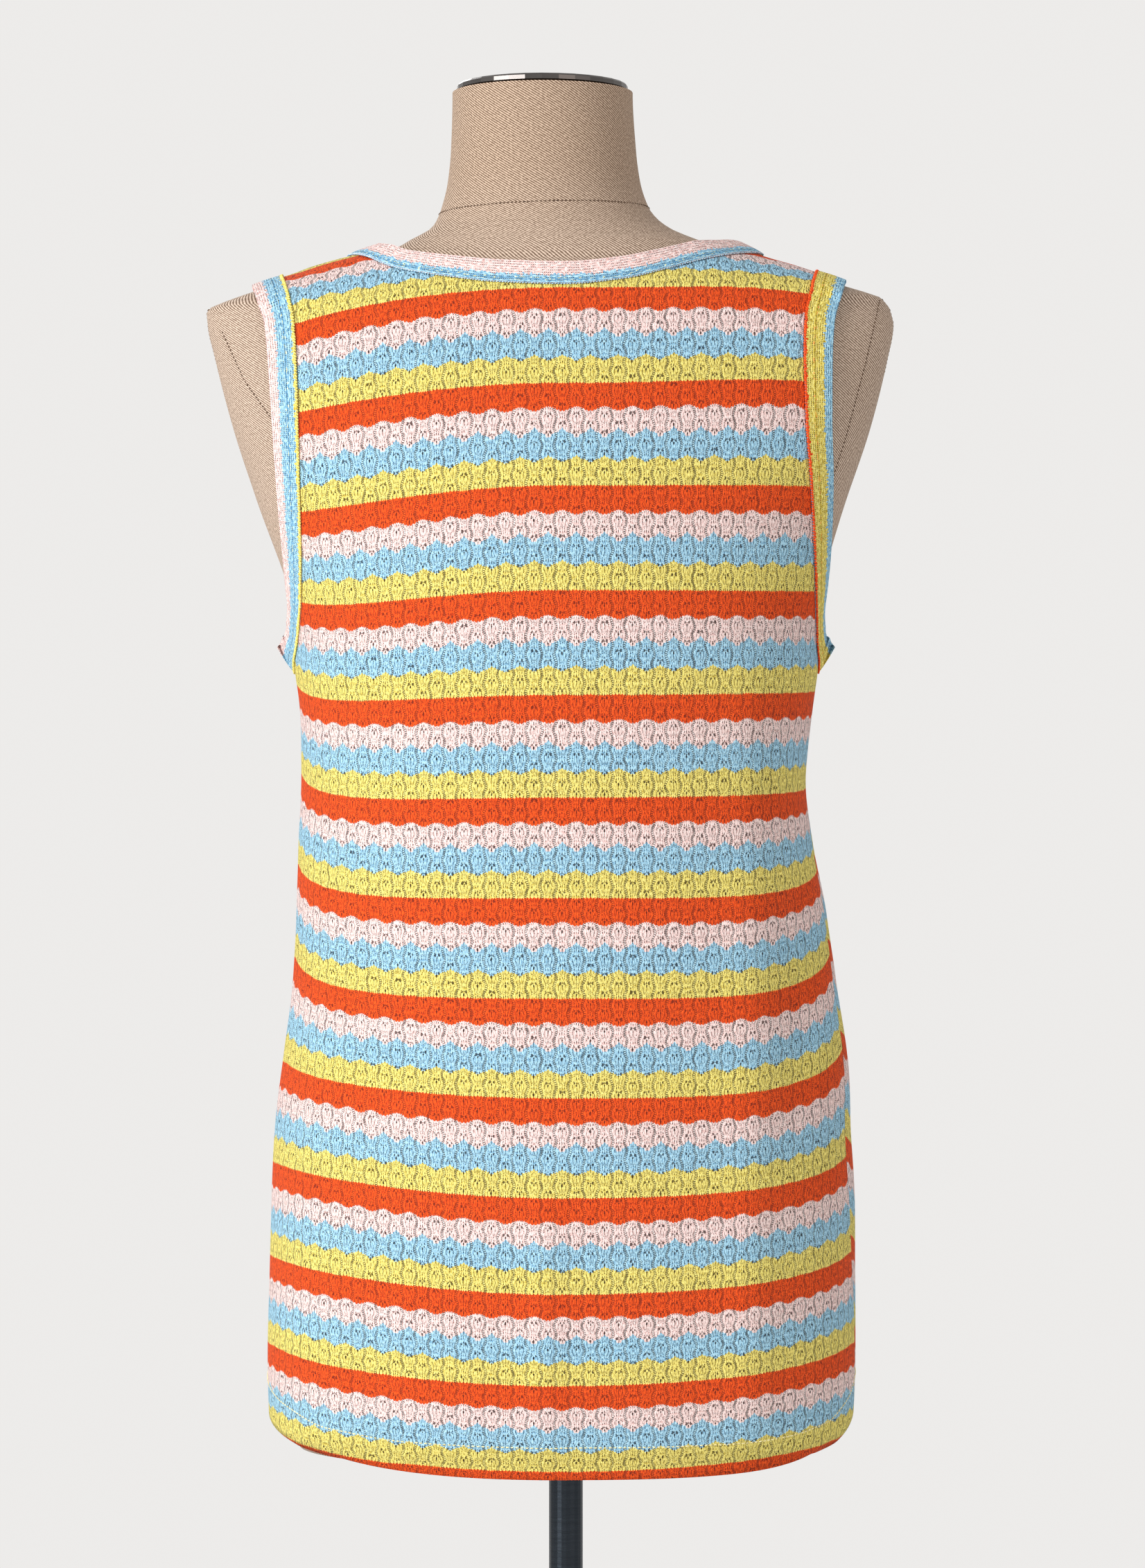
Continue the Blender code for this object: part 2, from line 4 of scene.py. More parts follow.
import bpy
import numpy as np
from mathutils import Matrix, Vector


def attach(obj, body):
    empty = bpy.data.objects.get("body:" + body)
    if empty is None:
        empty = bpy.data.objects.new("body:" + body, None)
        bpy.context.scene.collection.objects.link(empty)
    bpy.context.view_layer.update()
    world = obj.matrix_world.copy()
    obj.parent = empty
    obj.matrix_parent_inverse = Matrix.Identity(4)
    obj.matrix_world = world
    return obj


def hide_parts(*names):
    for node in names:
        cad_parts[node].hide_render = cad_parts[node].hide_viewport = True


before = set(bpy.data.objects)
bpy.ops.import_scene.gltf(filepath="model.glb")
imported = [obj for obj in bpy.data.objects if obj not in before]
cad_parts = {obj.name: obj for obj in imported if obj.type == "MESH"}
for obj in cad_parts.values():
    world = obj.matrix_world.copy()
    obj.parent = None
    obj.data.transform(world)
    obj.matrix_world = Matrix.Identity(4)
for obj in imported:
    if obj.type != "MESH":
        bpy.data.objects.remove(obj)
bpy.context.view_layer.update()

# Studio. A pale floor disc under the round foot, a pale surround and a broad soft key
# light from the left, helped by weak ones low on the left, on the right and behind.
# The camera stands level behind the garment's back, at the middle of its height.
FLOOR_RADIUS = 1.3
FLOOR_POINTS = 96
FLOOR_COLOUR = (0.80, 0.80, 0.79)
FLOOR_SHADE = (0.77, 0.77, 0.76)
SURROUND = (0.846, 0.834, 0.820)
SURROUND_LIGHT = 0.66
SURROUND_TINT = (1.0, 0.985, 0.965)
CAMERA_PLACE = (0.00365, -2.6, 0.672)
VIEW_WIDTH = 0.6354
SENSOR = 36.0


def new_material(name, roughness=0.8, metallic=0.0):
    """A material with its nodes, links and shader, ready for a pattern."""
    material = bpy.data.materials.new(name)
    material.use_nodes = True
    tree = material.node_tree
    shader = tree.nodes["Principled BSDF"]
    shader.inputs["Roughness"].default_value = roughness
    shader.inputs["Metallic"].default_value = metallic
    return material, tree, shader


def new_object(name, mesh):
    """An object in the scene, at the origin."""
    made = bpy.data.objects.new(name, mesh)
    bpy.context.scene.collection.objects.link(made)
    return made


def add_node(tree, kind, **settings):
    """A node with its attributes, then its inputs by number or name."""
    node = tree.nodes.new(kind)
    inputs = settings.pop("inputs", {})
    for key, value in settings.items():
        setattr(node, key, value)
    for key, value in inputs.items():
        if isinstance(value, bpy.types.NodeSocket):
            tree.links.new(value, node.inputs[key])
        else:
            node.inputs[key].default_value = value
    return node


def noise(tree, place, scale, detail):
    """A fine random pattern from 0 to 1, at a place on the surface."""
    node = add_node(tree, "ShaderNodeTexNoise", inputs={"Scale": scale, "Detail": detail})
    if place is not None:
        tree.links.new(place, node.inputs["Vector"])
    return node.outputs[0]


def tone_ramp(tree, amount, dark, light, low=0.0, high=1.0):
    """A colour that turns from dark to light as an amount rises from low to high."""
    ramp = add_node(tree, "ShaderNodeValToRGB", inputs={0: amount})
    for stop, place, colour in zip(ramp.color_ramp.elements, (low, high), (dark, light)):
        stop.position = place
        stop.color = (*colour, 1)
    return ramp.outputs[0]


def area_light(name, place, aim, size, power, colour):
    """A round soft light that points at a height on the form's own axis."""
    data = bpy.data.lights.new(name, "AREA")
    data.shape = "DISK"
    data.size = size
    data.energy = power
    data.color = colour
    lamp = new_object(name, data)
    lamp.location = place
    away = Vector((0, 0, aim)) - Vector(place)
    lamp.rotation_euler = away.to_track_quat("-Z", "Y").to_euler()


world = bpy.data.worlds.new("surround")
bpy.context.scene.world = world
world.use_nodes = True
world.node_tree.nodes.clear()
seen = add_node(world.node_tree, "ShaderNodeLightPath")
pale = add_node(
    world.node_tree, "ShaderNodeBackground", inputs={"Color": (*SURROUND, 1), "Strength": 1.0}
)
lit = add_node(
    world.node_tree,
    "ShaderNodeBackground",
    inputs={"Color": (*SURROUND_TINT, 1), "Strength": SURROUND_LIGHT},
)
either = add_node(
    world.node_tree,
    "ShaderNodeMixShader",
    inputs={0: seen.outputs["Is Camera Ray"], 1: lit.outputs[0], 2: pale.outputs[0]},
)
add_node(world.node_tree, "ShaderNodeOutputWorld", inputs={"Surface": either.outputs[0]})

area_light(
    "key_light", place=(-2.1, -2.0, 1.45), aim=0.68, size=1.5, power=79, colour=(1.0, 0.99, 0.98)
)
area_light(
    "fill_light", place=(1.9, -2.4, 1.0), aim=0.65, size=1.8, power=12, colour=(1.0, 0.86, 0.78)
)
area_light(
    "low_light", place=(-1.3, -1.7, 0.30), aim=0.25, size=0.35, power=6.0, colour=(1.0, 1.0, 1.0)
)
area_light(
    "back_light", place=(-0.6, 2.4, 2.2), aim=0.68, size=1.6, power=24, colour=(1.0, 1.0, 1.0)
)

camera_data = bpy.data.cameras.new("camera")
camera_data.sensor_fit = "HORIZONTAL"
camera_data.sensor_width = SENSOR
camera_data.lens = SENSOR * -CAMERA_PLACE[1] / VIEW_WIDTH
camera = new_object("camera", camera_data)
camera.location = CAMERA_PLACE
camera.rotation_euler = (math.pi / 2, 0, 0)
bpy.context.scene.camera = camera
bpy.context.scene.view_settings.view_transform = "Standard"

floor_mesh = bpy.data.meshes.new("floor")
floor_turns = np.linspace(0, math.tau, FLOOR_POINTS, endpoint=False)
floor_rim = [Vector((math.cos(t), math.sin(t), 0)) * FLOOR_RADIUS for t in floor_turns]
floor_mesh.from_pydata(floor_rim, [], [tuple(range(FLOOR_POINTS))])
floor_finish, floor_tree, floor_shader = new_material("floor_finish", 0.75)
floor_mottle = noise(floor_tree, None, scale=3.0, detail=4.0)
floor_paint = tone_ramp(floor_tree, floor_mottle, FLOOR_SHADE, FLOOR_COLOUR)
floor_tree.links.new(floor_paint, floor_shader.inputs["Base Color"])
floor_mesh.materials.append(floor_finish)
new_object("floor", floor_mesh)


# Body of the dress form. A moulded and padded shell, covered in a close taupe canvas
# that is cut in upright panels. Its covers meet in a stitched seam round the neck.
Section = namedtuple("Section", "height centre half mid back front square")
FORM = [
    Section(0.3060, -0.0015, 0.1460, 0.000, 0.0935, 0.0950, 2.20),
    Section(0.3120, -0.0015, 0.1515, 0.000, 0.0985, 0.0995, 2.20),
    Section(0.3240, -0.0015, 0.1545, 0.000, 0.1010, 0.1020, 2.25),
    Section(0.3600, -0.0015, 0.1555, 0.000, 0.1040, 0.1045, 2.25),
    Section(0.4000, -0.0012, 0.1550, 0.000, 0.1050, 0.1040, 2.25),
    Section(0.4400, -0.0010, 0.1520, 0.000, 0.1030, 0.1020, 2.20),
    Section(0.4800, -0.0010, 0.1435, 0.000, 0.0960, 0.0975, 2.20),
    Section(0.5200, -0.0018, 0.1290, 0.000, 0.0860, 0.0930, 2.15),
    Section(0.5600, -0.0030, 0.1170, 0.000, 0.0800, 0.0910, 2.15),
    Section(0.6000, -0.0040, 0.1150, 0.000, 0.0800, 0.0940, 2.15),
    Section(0.6400, -0.0050, 0.1190, 0.000, 0.0850, 0.1010, 2.15),
    Section(0.6800, -0.0055, 0.1260, 0.000, 0.0910, 0.1100, 2.15),
    Section(0.7200, -0.0055, 0.1330, 0.000, 0.0960, 0.1165, 2.15),
    Section(0.7500, -0.0058, 0.1385, 0.000, 0.0985, 0.1170, 2.15),
    Section(0.7700, -0.0062, 0.1440, -0.001, 0.0995, 0.1155, 2.10),
    Section(0.7920, -0.0068, 0.1508, -0.002, 0.0995, 0.1125, 2.05),
    Section(0.8300, -0.0080, 0.1635, -0.005, 0.0975, 0.1050, 1.98),
    Section(0.8690, -0.0078, 0.1763, -0.008, 0.0900, 0.0940, 1.95),
    Section(0.9070, -0.0080, 0.1858, -0.011, 0.0775, 0.0805, 1.90),
    Section(0.9264, -0.0085, 0.1894, -0.012, 0.0700, 0.0710, 1.87),
    Section(0.9333, -0.0095, 0.1888, -0.012, 0.0674, 0.0672, 1.85),
    Section(0.9375, -0.0068, 0.1835, -0.012, 0.0661, 0.0657, 1.82),
    Section(0.9410, -0.0040, 0.1770, -0.012, 0.0650, 0.0641, 1.80),
    Section(0.9460, -0.0040, 0.1610, -0.012, 0.0633, 0.0620, 1.79),
    Section(0.9511, -0.0048, 0.1434, -0.012, 0.0615, 0.0597, 1.77),
    Section(0.9550, -0.0057, 0.1321, -0.012, 0.0600, 0.0583, 1.76),
    Section(0.9588, -0.0056, 0.1193, -0.011, 0.0587, 0.0572, 1.76),
    Section(0.9624, -0.0035, 0.1060, -0.010, 0.0573, 0.0562, 1.77),
    Section(0.9694, -0.0042, 0.0877, -0.008, 0.0543, 0.0552, 1.84),
    Section(0.9730, -0.0066, 0.0796, -0.006, 0.0527, 0.0549, 1.87),
    Section(0.9793, -0.0084, 0.0669, -0.003, 0.0500, 0.0548, 1.93),
    Section(0.9850, -0.0102, 0.0614, 0.001, 0.0478, 0.0551, 1.98),
    Section(0.9918, -0.0115, 0.0577, 0.004, 0.0460, 0.0560, 2.00),
    Section(1.0072, -0.0122, 0.0535, 0.008, 0.0432, 0.0580, 2.00),
    Section(1.0250, -0.0125, 0.0515, 0.009, 0.0415, 0.0595, 2.00),
    Section(1.0568, -0.0130, 0.0502, 0.010, 0.0402, 0.0602, 2.00),
]
FORM_ROUND = 160
FORM_ROWS = 260


def read(table, column, at):
    """A table's column at values of its first one, smooth and without overshoot."""
    keys = np.array([row[0] for row in table])
    values = np.array([getattr(row, column) for row in table])
    at = np.clip(at, keys[0], keys[-1])
    rise = np.diff(values) / np.diff(keys)
    slopes = np.zeros(len(keys))
    same = rise[:-1] * rise[1:] > 0
    total = np.where(same, rise[:-1] + rise[1:], 1.0)
    slopes[1:-1] = np.where(same, 2 * rise[:-1] * rise[1:] / total, 0.0)
    i = np.clip(np.searchsorted(keys, at, side="right") - 1, 0, len(keys) - 2)
    span = keys[i + 1] - keys[i]
    t = (at - keys[i]) / span
    return (
        values[i] * (1 + 2 * t) * (1 - t) ** 2
        + slopes[i] * span * t * (1 - t) ** 2
        + values[i + 1] * t * t * (3 - 2 * t)
        - slopes[i + 1] * span * t * t * (1 - t)
    )


def form_outline(heights):
    """The form's outline at some heights."""
    return Section(heights, *(read(FORM, c, heights) for c in Section._fields[1:]))


def reach(section, facing):
    """How far the back (-1) or the front (1) stands off a section's widest line."""
    return np.where(facing > 0, section.front - section.mid, section.back + section.mid)


def bowed(size, turn, power):
    """A share of a size on a squared circle, on the side of the turn's own sign."""
    return np.copysign(size * np.abs(turn) ** power, turn)


def round_grid_faces(rows, columns):
    """Faces of a tube of rings, each ring's last point joined to its first."""
    r, c = np.meshgrid(np.arange(rows - 1), np.arange(columns), indexing="ij")
    beside = (c + 1) % columns
    quads = (r * columns + c, r * columns + beside, (r + 1) * columns + beside)
    quads += ((r + 1) * columns + c,)
    return np.stack(quads, axis=-1).reshape(-1, 4).tolist()


form_heights = FORM[0].height + (FORM[-1].height - FORM[0].height) * (
    np.linspace(0, 1, FORM_ROWS)
)
outline = form_outline(form_heights[:, None])
turns = np.linspace(0, math.tau, FORM_ROUND, endpoint=False)[None, :]
power = 2 / outline.square
form_x = outline.centre + bowed(outline.half, np.cos(turns), power)
form_y = outline.mid + bowed(reach(outline, np.sin(turns)), np.sin(turns), power)
form_z = np.repeat(form_heights[:, None], FORM_ROUND, axis=1)
form_points = np.stack([form_x, form_y, form_z], axis=-1).reshape(-1, 3)
form_faces = round_grid_faces(FORM_ROWS, FORM_ROUND)
form_faces.append(list(range(FORM_ROUND))[::-1])
form_faces.append([(FORM_ROWS - 1) * FORM_ROUND + p for p in range(FORM_ROUND)])
form_mesh = bpy.data.meshes.new("form_cover")
form_mesh.from_pydata(form_points.tolist(), [], form_faces)
form_mesh.shade_smooth()
form_mesh.set_sharp_from_angle(angle=math.radians(60))

# The canvas is measured round each level from the middle of the back, and up the body.
FRONT_COLUMN = FORM_ROUND // 4
order = (np.arange(FORM_ROUND + 1) + FRONT_COLUMN) % FORM_ROUND
ring_points = form_points.reshape(FORM_ROWS, FORM_ROUND, 3)[:, order]
ring_steps = np.linalg.norm(np.diff(ring_points, axis=1), axis=-1)
girth = np.concatenate([np.zeros((FORM_ROWS, 1)), np.cumsum(ring_steps, axis=1)], axis=1)
girth -= girth[:, FORM_ROUND // 2 :][:, :1]
canvas_places = []
for row in range(FORM_ROWS - 1):
    for column in range(FORM_ROUND):
        i = (column - FRONT_COLUMN) % FORM_ROUND
        for r, c in ((row, i), (row, i + 1), (row + 1, i + 1), (row + 1, i)):
            canvas_places += [girth[r, c], form_heights[r]]
canvas_places += [0.0] * (4 * FORM_ROUND)
canvas_layer = form_mesh.uv_layers.new(name="canvas")
canvas_layer.data.foreach_set("uv", np.array(canvas_places, np.float32))


def math_chain(tree):
    """A short way to write sums in a node tree."""

    def value(operation, *terms, clamp=False):
        node = tree.nodes.new("ShaderNodeMath")
        node.operation = operation
        node.use_clamp = clamp
        for i, term in enumerate(terms):
            if isinstance(term, bpy.types.NodeSocket):
                tree.links.new(term, node.inputs[i])
            else:
                node.inputs[i].default_value = term
        return node.outputs[0]

    return value


def new_group(name, inputs, outputs, kind="ShaderNodeTree"):
    """A node group with its sockets, each a name and the kind of thing it takes."""
    group = bpy.data.node_groups.new(name, kind)
    for way, sockets in (("INPUT", inputs), ("OUTPUT", outputs)):
        for socket, holds in sockets.items():
            group.interface.new_socket(socket, in_out=way, socket_type="NodeSocket" + holds)
    return group, group.nodes.new("NodeGroupInput").outputs


def add_relief(tree, shader, height, strength, distance):
    """Small bumps in the surface, from a height."""
    bump = add_node(
        tree,
        "ShaderNodeBump",
        inputs={"Height": height, "Strength": strength, "Distance": distance},
    )
    tree.links.new(bump.outputs[0], shader.inputs["Normal"])


TWILL_SLANT = (0.53, 0.85)
CORD_LIGHT, THREAD_LIGHT = 2.6, 0.7
SLUB, SLUB_LEVEL = 1.3, -1.05


def weave_group():
    """Twill canvas: slanting cords crossed by finer threads, with random slubs, as painted light and
    shade and as height.
    """
    group, (place, cord, thread, *_) = new_group(
        "twill_canvas",
        {"Place": "Vector", "Cord": "Float", "Thread": "Float"},
        {"Weave": "Float"},
    )
    out = group.nodes.new("NodeGroupOutput")
    value = math_chain(group)
    slub = noise(group, place, scale=700.0, detail=2.0)
    parts = add_node(group, "ShaderNodeSeparateXYZ", inputs={0: place})
    across, up = parts.outputs[0], parts.outputs[1]
    flat, steep = TWILL_SLANT
    along_cord = value("MULTIPLY_ADD", across, flat, value("MULTIPLY", up, steep))
    over_cord = value("MULTIPLY_ADD", up, flat, value("MULTIPLY", across, -steep))
    cords = value("PINGPONG", value("DIVIDE", along_cord, cord), 0.5)
    threads = value("PINGPONG", value("DIVIDE", over_cord, thread), 0.5)
    both = value("MULTIPLY_ADD", cords, CORD_LIGHT, value("MULTIPLY", threads, THREAD_LIGHT))
    rough = value("MULTIPLY_ADD", slub, SLUB, SLUB_LEVEL)
    group.links.new(value("ADD", both, rough), out.inputs[0])
    return group


TWILL = weave_group()
CORD_PITCH = 0.00118
THREAD_PITCH = 0.00060
# Lit and shaded canvas tones: the weave paints light on the cords and shade between them.
CANVAS_SHADED = (0.150, 0.095, 0.062)
CANVAS_LIT = (0.75, 0.60, 0.485)
# Painted shade on the neck: a darker tint, and the heights over which it grows to its full share.
CANVAS_NECK_SHADE = (0.80, 0.72, 0.62)
NECK_SHADE_FROM, NECK_SHADE_TO, NECK_SHADE_SHARE = 0.955, 1.010, 0.55
canvas, canvas_tree, canvas_shader = new_material("canvas", 0.88)
canvas_shader.inputs["Specular IOR Level"].default_value = 0.2
canvas_place = add_node(canvas_tree, "ShaderNodeUVMap", uv_map="canvas").outputs[0]
canvas_weave = add_node(
    canvas_tree,
    "ShaderNodeGroup",
    node_tree=TWILL,
    inputs={"Place": canvas_place, "Cord": CORD_PITCH, "Thread": THREAD_PITCH},
)
canvas_light = canvas_weave.outputs["Weave"]
canvas_colour = tone_ramp(canvas_tree, canvas_light, CANVAS_SHADED, CANVAS_LIT)
canvas_spot = add_node(canvas_tree, "ShaderNodeTexCoord").outputs["Object"]
canvas_height = add_node(canvas_tree, "ShaderNodeSeparateXYZ", inputs={0: canvas_spot}).outputs[2]
# Painted shade: the canvas colour is multiplied darker from the lower height up to the upper one.
painted_neck_shade = add_node(
    canvas_tree,
    "ShaderNodeMapRange",
    inputs={0: canvas_height, 1: NECK_SHADE_FROM, 2: NECK_SHADE_TO, 4: NECK_SHADE_SHARE},
)
neck_shaded_canvas = add_node(canvas_tree, "ShaderNodeMix", data_type="RGBA", blend_type="MULTIPLY")
canvas_tree.links.new(painted_neck_shade.outputs[0], neck_shaded_canvas.inputs[0])
canvas_tree.links.new(canvas_colour, neck_shaded_canvas.inputs[6])
neck_shaded_canvas.inputs[7].default_value = (*CANVAS_NECK_SHADE, 1)
canvas_tree.links.new(neck_shaded_canvas.outputs[2], canvas_shader.inputs["Base Color"])
add_relief(canvas_tree, canvas_shader, canvas_light, strength=0.35, distance=0.0003)
form_mesh.materials.append(canvas)
form_cover = new_object("form_cover", form_mesh)
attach(form_cover, "root")
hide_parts("form_body")


# Seams of the form's cover. The canvas panels are sewn together before they are pulled
# over the shell: round the neck, along each shoulder and down from the arm cuts. Each
# stitch is a small bead of thread, longer than it is thick and never quite like the next.
BEAD_SEGMENTS, BEAD_RINGS = 6, 4
SMALLEST, LARGEST = (0.86, 0.86, 0.86), (1.12, 1.12, 1.12)
STITCH_SEED = 7


def stitch_tree():
    """Geometry nodes that lay rounded stitches along a line of edges."""
    sizes = dict.fromkeys(("Spacing", "Length", "Thickness", "Slant"), "Float")
    tree, (line, spacing, long, thick, slant, thread, *_) = new_group(
        "stitch_row",
        {"Line": "Geometry", **sizes, "Thread": "Material"},
        {"Stitches": "Geometry"},
        "GeometryNodeTree",
    )
    curve = add_node(tree, "GeometryNodeMeshToCurve", inputs={"Mesh": line})
    evenly = add_node(
        tree,
        "GeometryNodeResampleCurve",
        mode="LENGTH",
        inputs={"Curve": curve.outputs[0], "Length": spacing},
    )
    away = add_node(
        tree, "GeometryNodeInputNamedAttribute", data_type="FLOAT_VECTOR", inputs={0: "outward"}
    )
    tangent = add_node(tree, "GeometryNodeInputTangent")
    upright = add_node(
        tree, "FunctionNodeAlignRotationToVector", axis="Z", inputs={"Vector": away.outputs[0]}
    )
    along = add_node(
        tree,
        "FunctionNodeAlignRotationToVector",
        axis="X",
        pivot_axis="Z",
        inputs={"Rotation": upright.outputs[0], "Vector": tangent.outputs[0]},
    )
    lean = add_node(
        tree, "FunctionNodeAxisAngleToRotation", inputs={"Axis": (0, 0, 1), "Angle": slant}
    )
    turned = add_node(
        tree,
        "FunctionNodeRotateRotation",
        rotation_space="LOCAL",
        inputs={"Rotation": along.outputs[0], "Rotate By": lean.outputs[0]},
    )
    bead = add_node(
        tree,
        "GeometryNodeMeshUVSphere",
        inputs={"Segments": BEAD_SEGMENTS, "Rings": BEAD_RINGS, "Radius": 0.5},
    )
    soft = add_node(tree, "GeometryNodeSetShadeSmooth", inputs={"Geometry": bead.outputs[0]})
    size = add_node(tree, "ShaderNodeCombineXYZ", inputs={0: long, 1: thick, 2: thick})
    uneven = add_node(
        tree,
        "FunctionNodeRandomValue",
        data_type="FLOAT_VECTOR",
        inputs={0: SMALLEST, 1: LARGEST, "Seed": STITCH_SEED},
    )
    scale = add_node(
        tree,
        "ShaderNodeVectorMath",
        operation="MULTIPLY",
        inputs={0: size.outputs[0], 1: uneven.outputs[0]},
    )
    laid = add_node(
        tree,
        "GeometryNodeInstanceOnPoints",
        inputs={
            "Points": evenly.outputs[0],
            "Instance": soft.outputs[0],
            "Rotation": turned.outputs[0],
            "Scale": scale.outputs[0],
        },
    )
    real = add_node(
        tree, "GeometryNodeRealizeInstances", inputs={"Geometry": laid.outputs[0]}
    )
    dyed = add_node(
        tree, "GeometryNodeSetMaterial", inputs={"Geometry": real.outputs[0], "Material": thread}
    )
    add_node(tree, "NodeGroupOutput", inputs={0: dyed.outputs[0]})
    return tree


STITCHES = stitch_tree()
Line = namedtuple("Line", "points outward closed")


def stitch_row(name, lines, slot, **sizes):
    """One piece of stitches along some lines, each with its directions off the surface."""
    edges, first = [], 0
    for line in lines:
        count = len(line.points)
        edges += [(first + i, first + i + 1) for i in range(count - 1)]
        if line.closed:
            edges.append((first + count - 1, first))
        first += count
    guide = bpy.data.meshes.new(name)
    guide.from_pydata(np.concatenate([line.points for line in lines]).tolist(), edges, [])
    away = guide.attributes.new("outward", "FLOAT_VECTOR", "POINT")
    ways = np.concatenate([line.outward for line in lines]).astype(np.float32)
    away.data.foreach_set("vector", ways.reshape(-1))
    row = new_object(name, guide)
    modifier = row.modifiers.new("stitches", "NODES")
    modifier.node_group = STITCHES
    for socket in STITCHES.interface.items_tree:
        if socket.in_out == "INPUT" and socket.name in sizes:
            modifier[socket.identifier] = sizes[socket.name]
    settled = row.evaluated_get(bpy.context.evaluated_depsgraph_get())
    stitched = bpy.data.meshes.new_from_object(settled)
    row.modifiers.remove(modifier)
    row.data = stitched
    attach(row, "root")
    return row


def thread_material(name, light, dark):
    """Twisted thread: two tones of one colour, in fine uneven plies."""
    made, tree, shader = new_material(name, 0.8)
    shader.inputs["Specular IOR Level"].default_value = 0.2
    place = add_node(tree, "ShaderNodeTexCoord").outputs["Object"]
    plies = noise(tree, place, scale=1500.0, detail=1.0)
    tone = tone_ramp(tree, plies, dark, light, low=0.35, high=0.62)
    tree.links.new(tone, shader.inputs["Base Color"])
    add_relief(tree, shader, plies, strength=0.4, distance=0.0002)
    return made


FORM_SEAM_POINTS = 40
FORM_SEAM_LIFT = 1.5


def form_line(route, facing):
    """A seam over the form's back (-1) or front (1), through places across and up."""
    route = np.array(route)
    steps = np.linspace(0, len(route) - 1, FORM_SEAM_POINTS)
    across = np.interp(steps, np.arange(len(route)), route[:, 0])
    heights = np.interp(steps, np.arange(len(route)), route[:, 1])
    level = form_outline(heights)
    depth = reach(level, facing)
    share = np.clip((across - level.centre) / level.half, -0.999, 0.999)
    out = (1 - np.abs(share) ** level.square) ** (1 / level.square)
    points = np.stack([across, level.mid + facing * depth * out, heights], axis=-1)
    slope = np.abs(share) ** (level.square - 1) * np.sign(share) / level.half
    forwards = facing * out ** (level.square - 1) / depth
    ways = np.stack([slope, forwards, np.full_like(slope, FORM_SEAM_LIFT)], axis=-1)
    return Line(points, ways / np.linalg.norm(ways, axis=1, keepdims=True), False)


SEAM_SINK = 0.0003
RIDGE_FROM, RIDGE_TO, RIDGE_POINTS = 0.9000, 0.9880, 80


def ridge_line(side):
    """The shoulder seam of one side, from the arm cut to the neck seam."""
    heights = np.linspace(RIDGE_FROM, RIDGE_TO, RIDGE_POINTS)
    level = form_outline(heights)
    points = np.stack([level.centre + side * level.half, level.mid, heights], axis=-1)
    run = np.gradient(points, axis=0)
    ways = np.stack([side * run[:, 2], np.zeros(RIDGE_POINTS), -side * run[:, 0]], axis=-1)
    ways /= np.linalg.norm(ways, axis=1, keepdims=True)
    return Line(points - ways * SEAM_SINK, ways, False)


NECK_SEAM = 0.9900
NECK_SEAM_TILT = 0.0018
NECK_SEAM_POINTS = 120
NECK_SEAM_LIFT = 0.35
neck_turns = np.linspace(0, math.tau, NECK_SEAM_POINTS, endpoint=False)
neck_cos, neck_sin = np.cos(neck_turns), np.sin(neck_turns)
neck_level = form_outline(NECK_SEAM + NECK_SEAM_TILT * neck_cos)
neck_power = 2 / neck_level.square
neck_x = neck_level.centre + bowed(neck_level.half, neck_cos, neck_power)
neck_y = neck_level.mid + bowed(reach(neck_level, neck_sin), neck_sin, neck_power)
neck_ring = Line(
    np.stack([neck_x, neck_y, neck_level.height], axis=-1),
    np.stack([neck_cos, neck_sin, np.full(NECK_SEAM_POINTS, NECK_SEAM_LIFT)], axis=-1),
    True,
)
LEFT_SEAM = [(-0.1885, 0.920), (-0.1760, 0.893), (-0.1606, 0.8713), (-0.1460, 0.835)]
RIGHT_ARM_SEAM = [(0.1725, 0.938), (0.1640, 0.902), (0.1536, 0.8634), (0.1430, 0.830)]
seam_thread = thread_material("seam_thread", (0.16, 0.10, 0.065), (0.05, 0.03, 0.02))
stitch_row(
    "form_seam_stitches",
    [neck_ring, ridge_line(-1), ridge_line(1)]
    + [form_line(route, way) for route in (LEFT_SEAM, RIGHT_ARM_SEAM) for way in (-1, 1)],
    "form_canvas",
    Spacing=0.0023, Length=0.0017, Thickness=0.0009, Slant=0.0, Thread=seam_thread,
)


# Neck cap and stand. The cap is a turned metal disc in dark polished chrome. The pole
# with its flange is a drawn steel tube in a dark blue-grey finish, and its round foot
# is cast and painted. Their shapes are the CAD solids' own.
def metal(name, colour, roughness, metallic, grain, drawn=1.0):
    """Painted or polished metal, whose faint marks can be drawn out into fine rings."""
    made, tree, shader = new_material(name, roughness, metallic)
    place = add_node(tree, "ShaderNodeTexCoord").outputs["Object"]
    stretched = add_node(
        tree,
        "ShaderNodeVectorMath",
        operation="MULTIPLY",
        inputs={0: place, 1: (1.0, 1.0, drawn)},
    )
    marks = noise(tree, stretched.outputs[0], scale=grain, detail=6.0)
    value = math_chain(tree)
    rough = value("MULTIPLY_ADD", marks, roughness * 0.6, roughness * 0.7)
    tree.links.new(rough, shader.inputs["Roughness"])
    tint = tone_ramp(tree, marks, [c * 0.75 for c in colour], [c * 1.25 for c in colour])
    tree.links.new(tint, shader.inputs["Base Color"])
    add_relief(tree, shader, marks, strength=0.15, distance=0.0004)
    return made


cap_finish = metal(
    "dark_chrome", (0.125, 0.115, 0.11), roughness=0.27, metallic=1.0, grain=60.0
)
pole_finish = metal(
    "pole_steel", (0.034, 0.041, 0.050), roughness=0.26, metallic=1.0, grain=26.0, drawn=30.0
)
base_finish = metal(
    "base_paint", (0.050, 0.062, 0.075), roughness=0.48, metallic=0.4, grain=120.0
)
for node, finish in (
    ("neck_cap", cap_finish),
    ("pole_flange", pole_finish),
    ("pole", pole_finish),
    ("base_hub", base_finish),
    ("base_plate", base_finish),
):
    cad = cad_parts[node]
    cad.data.materials.clear()
    cad.data.materials.append(finish)


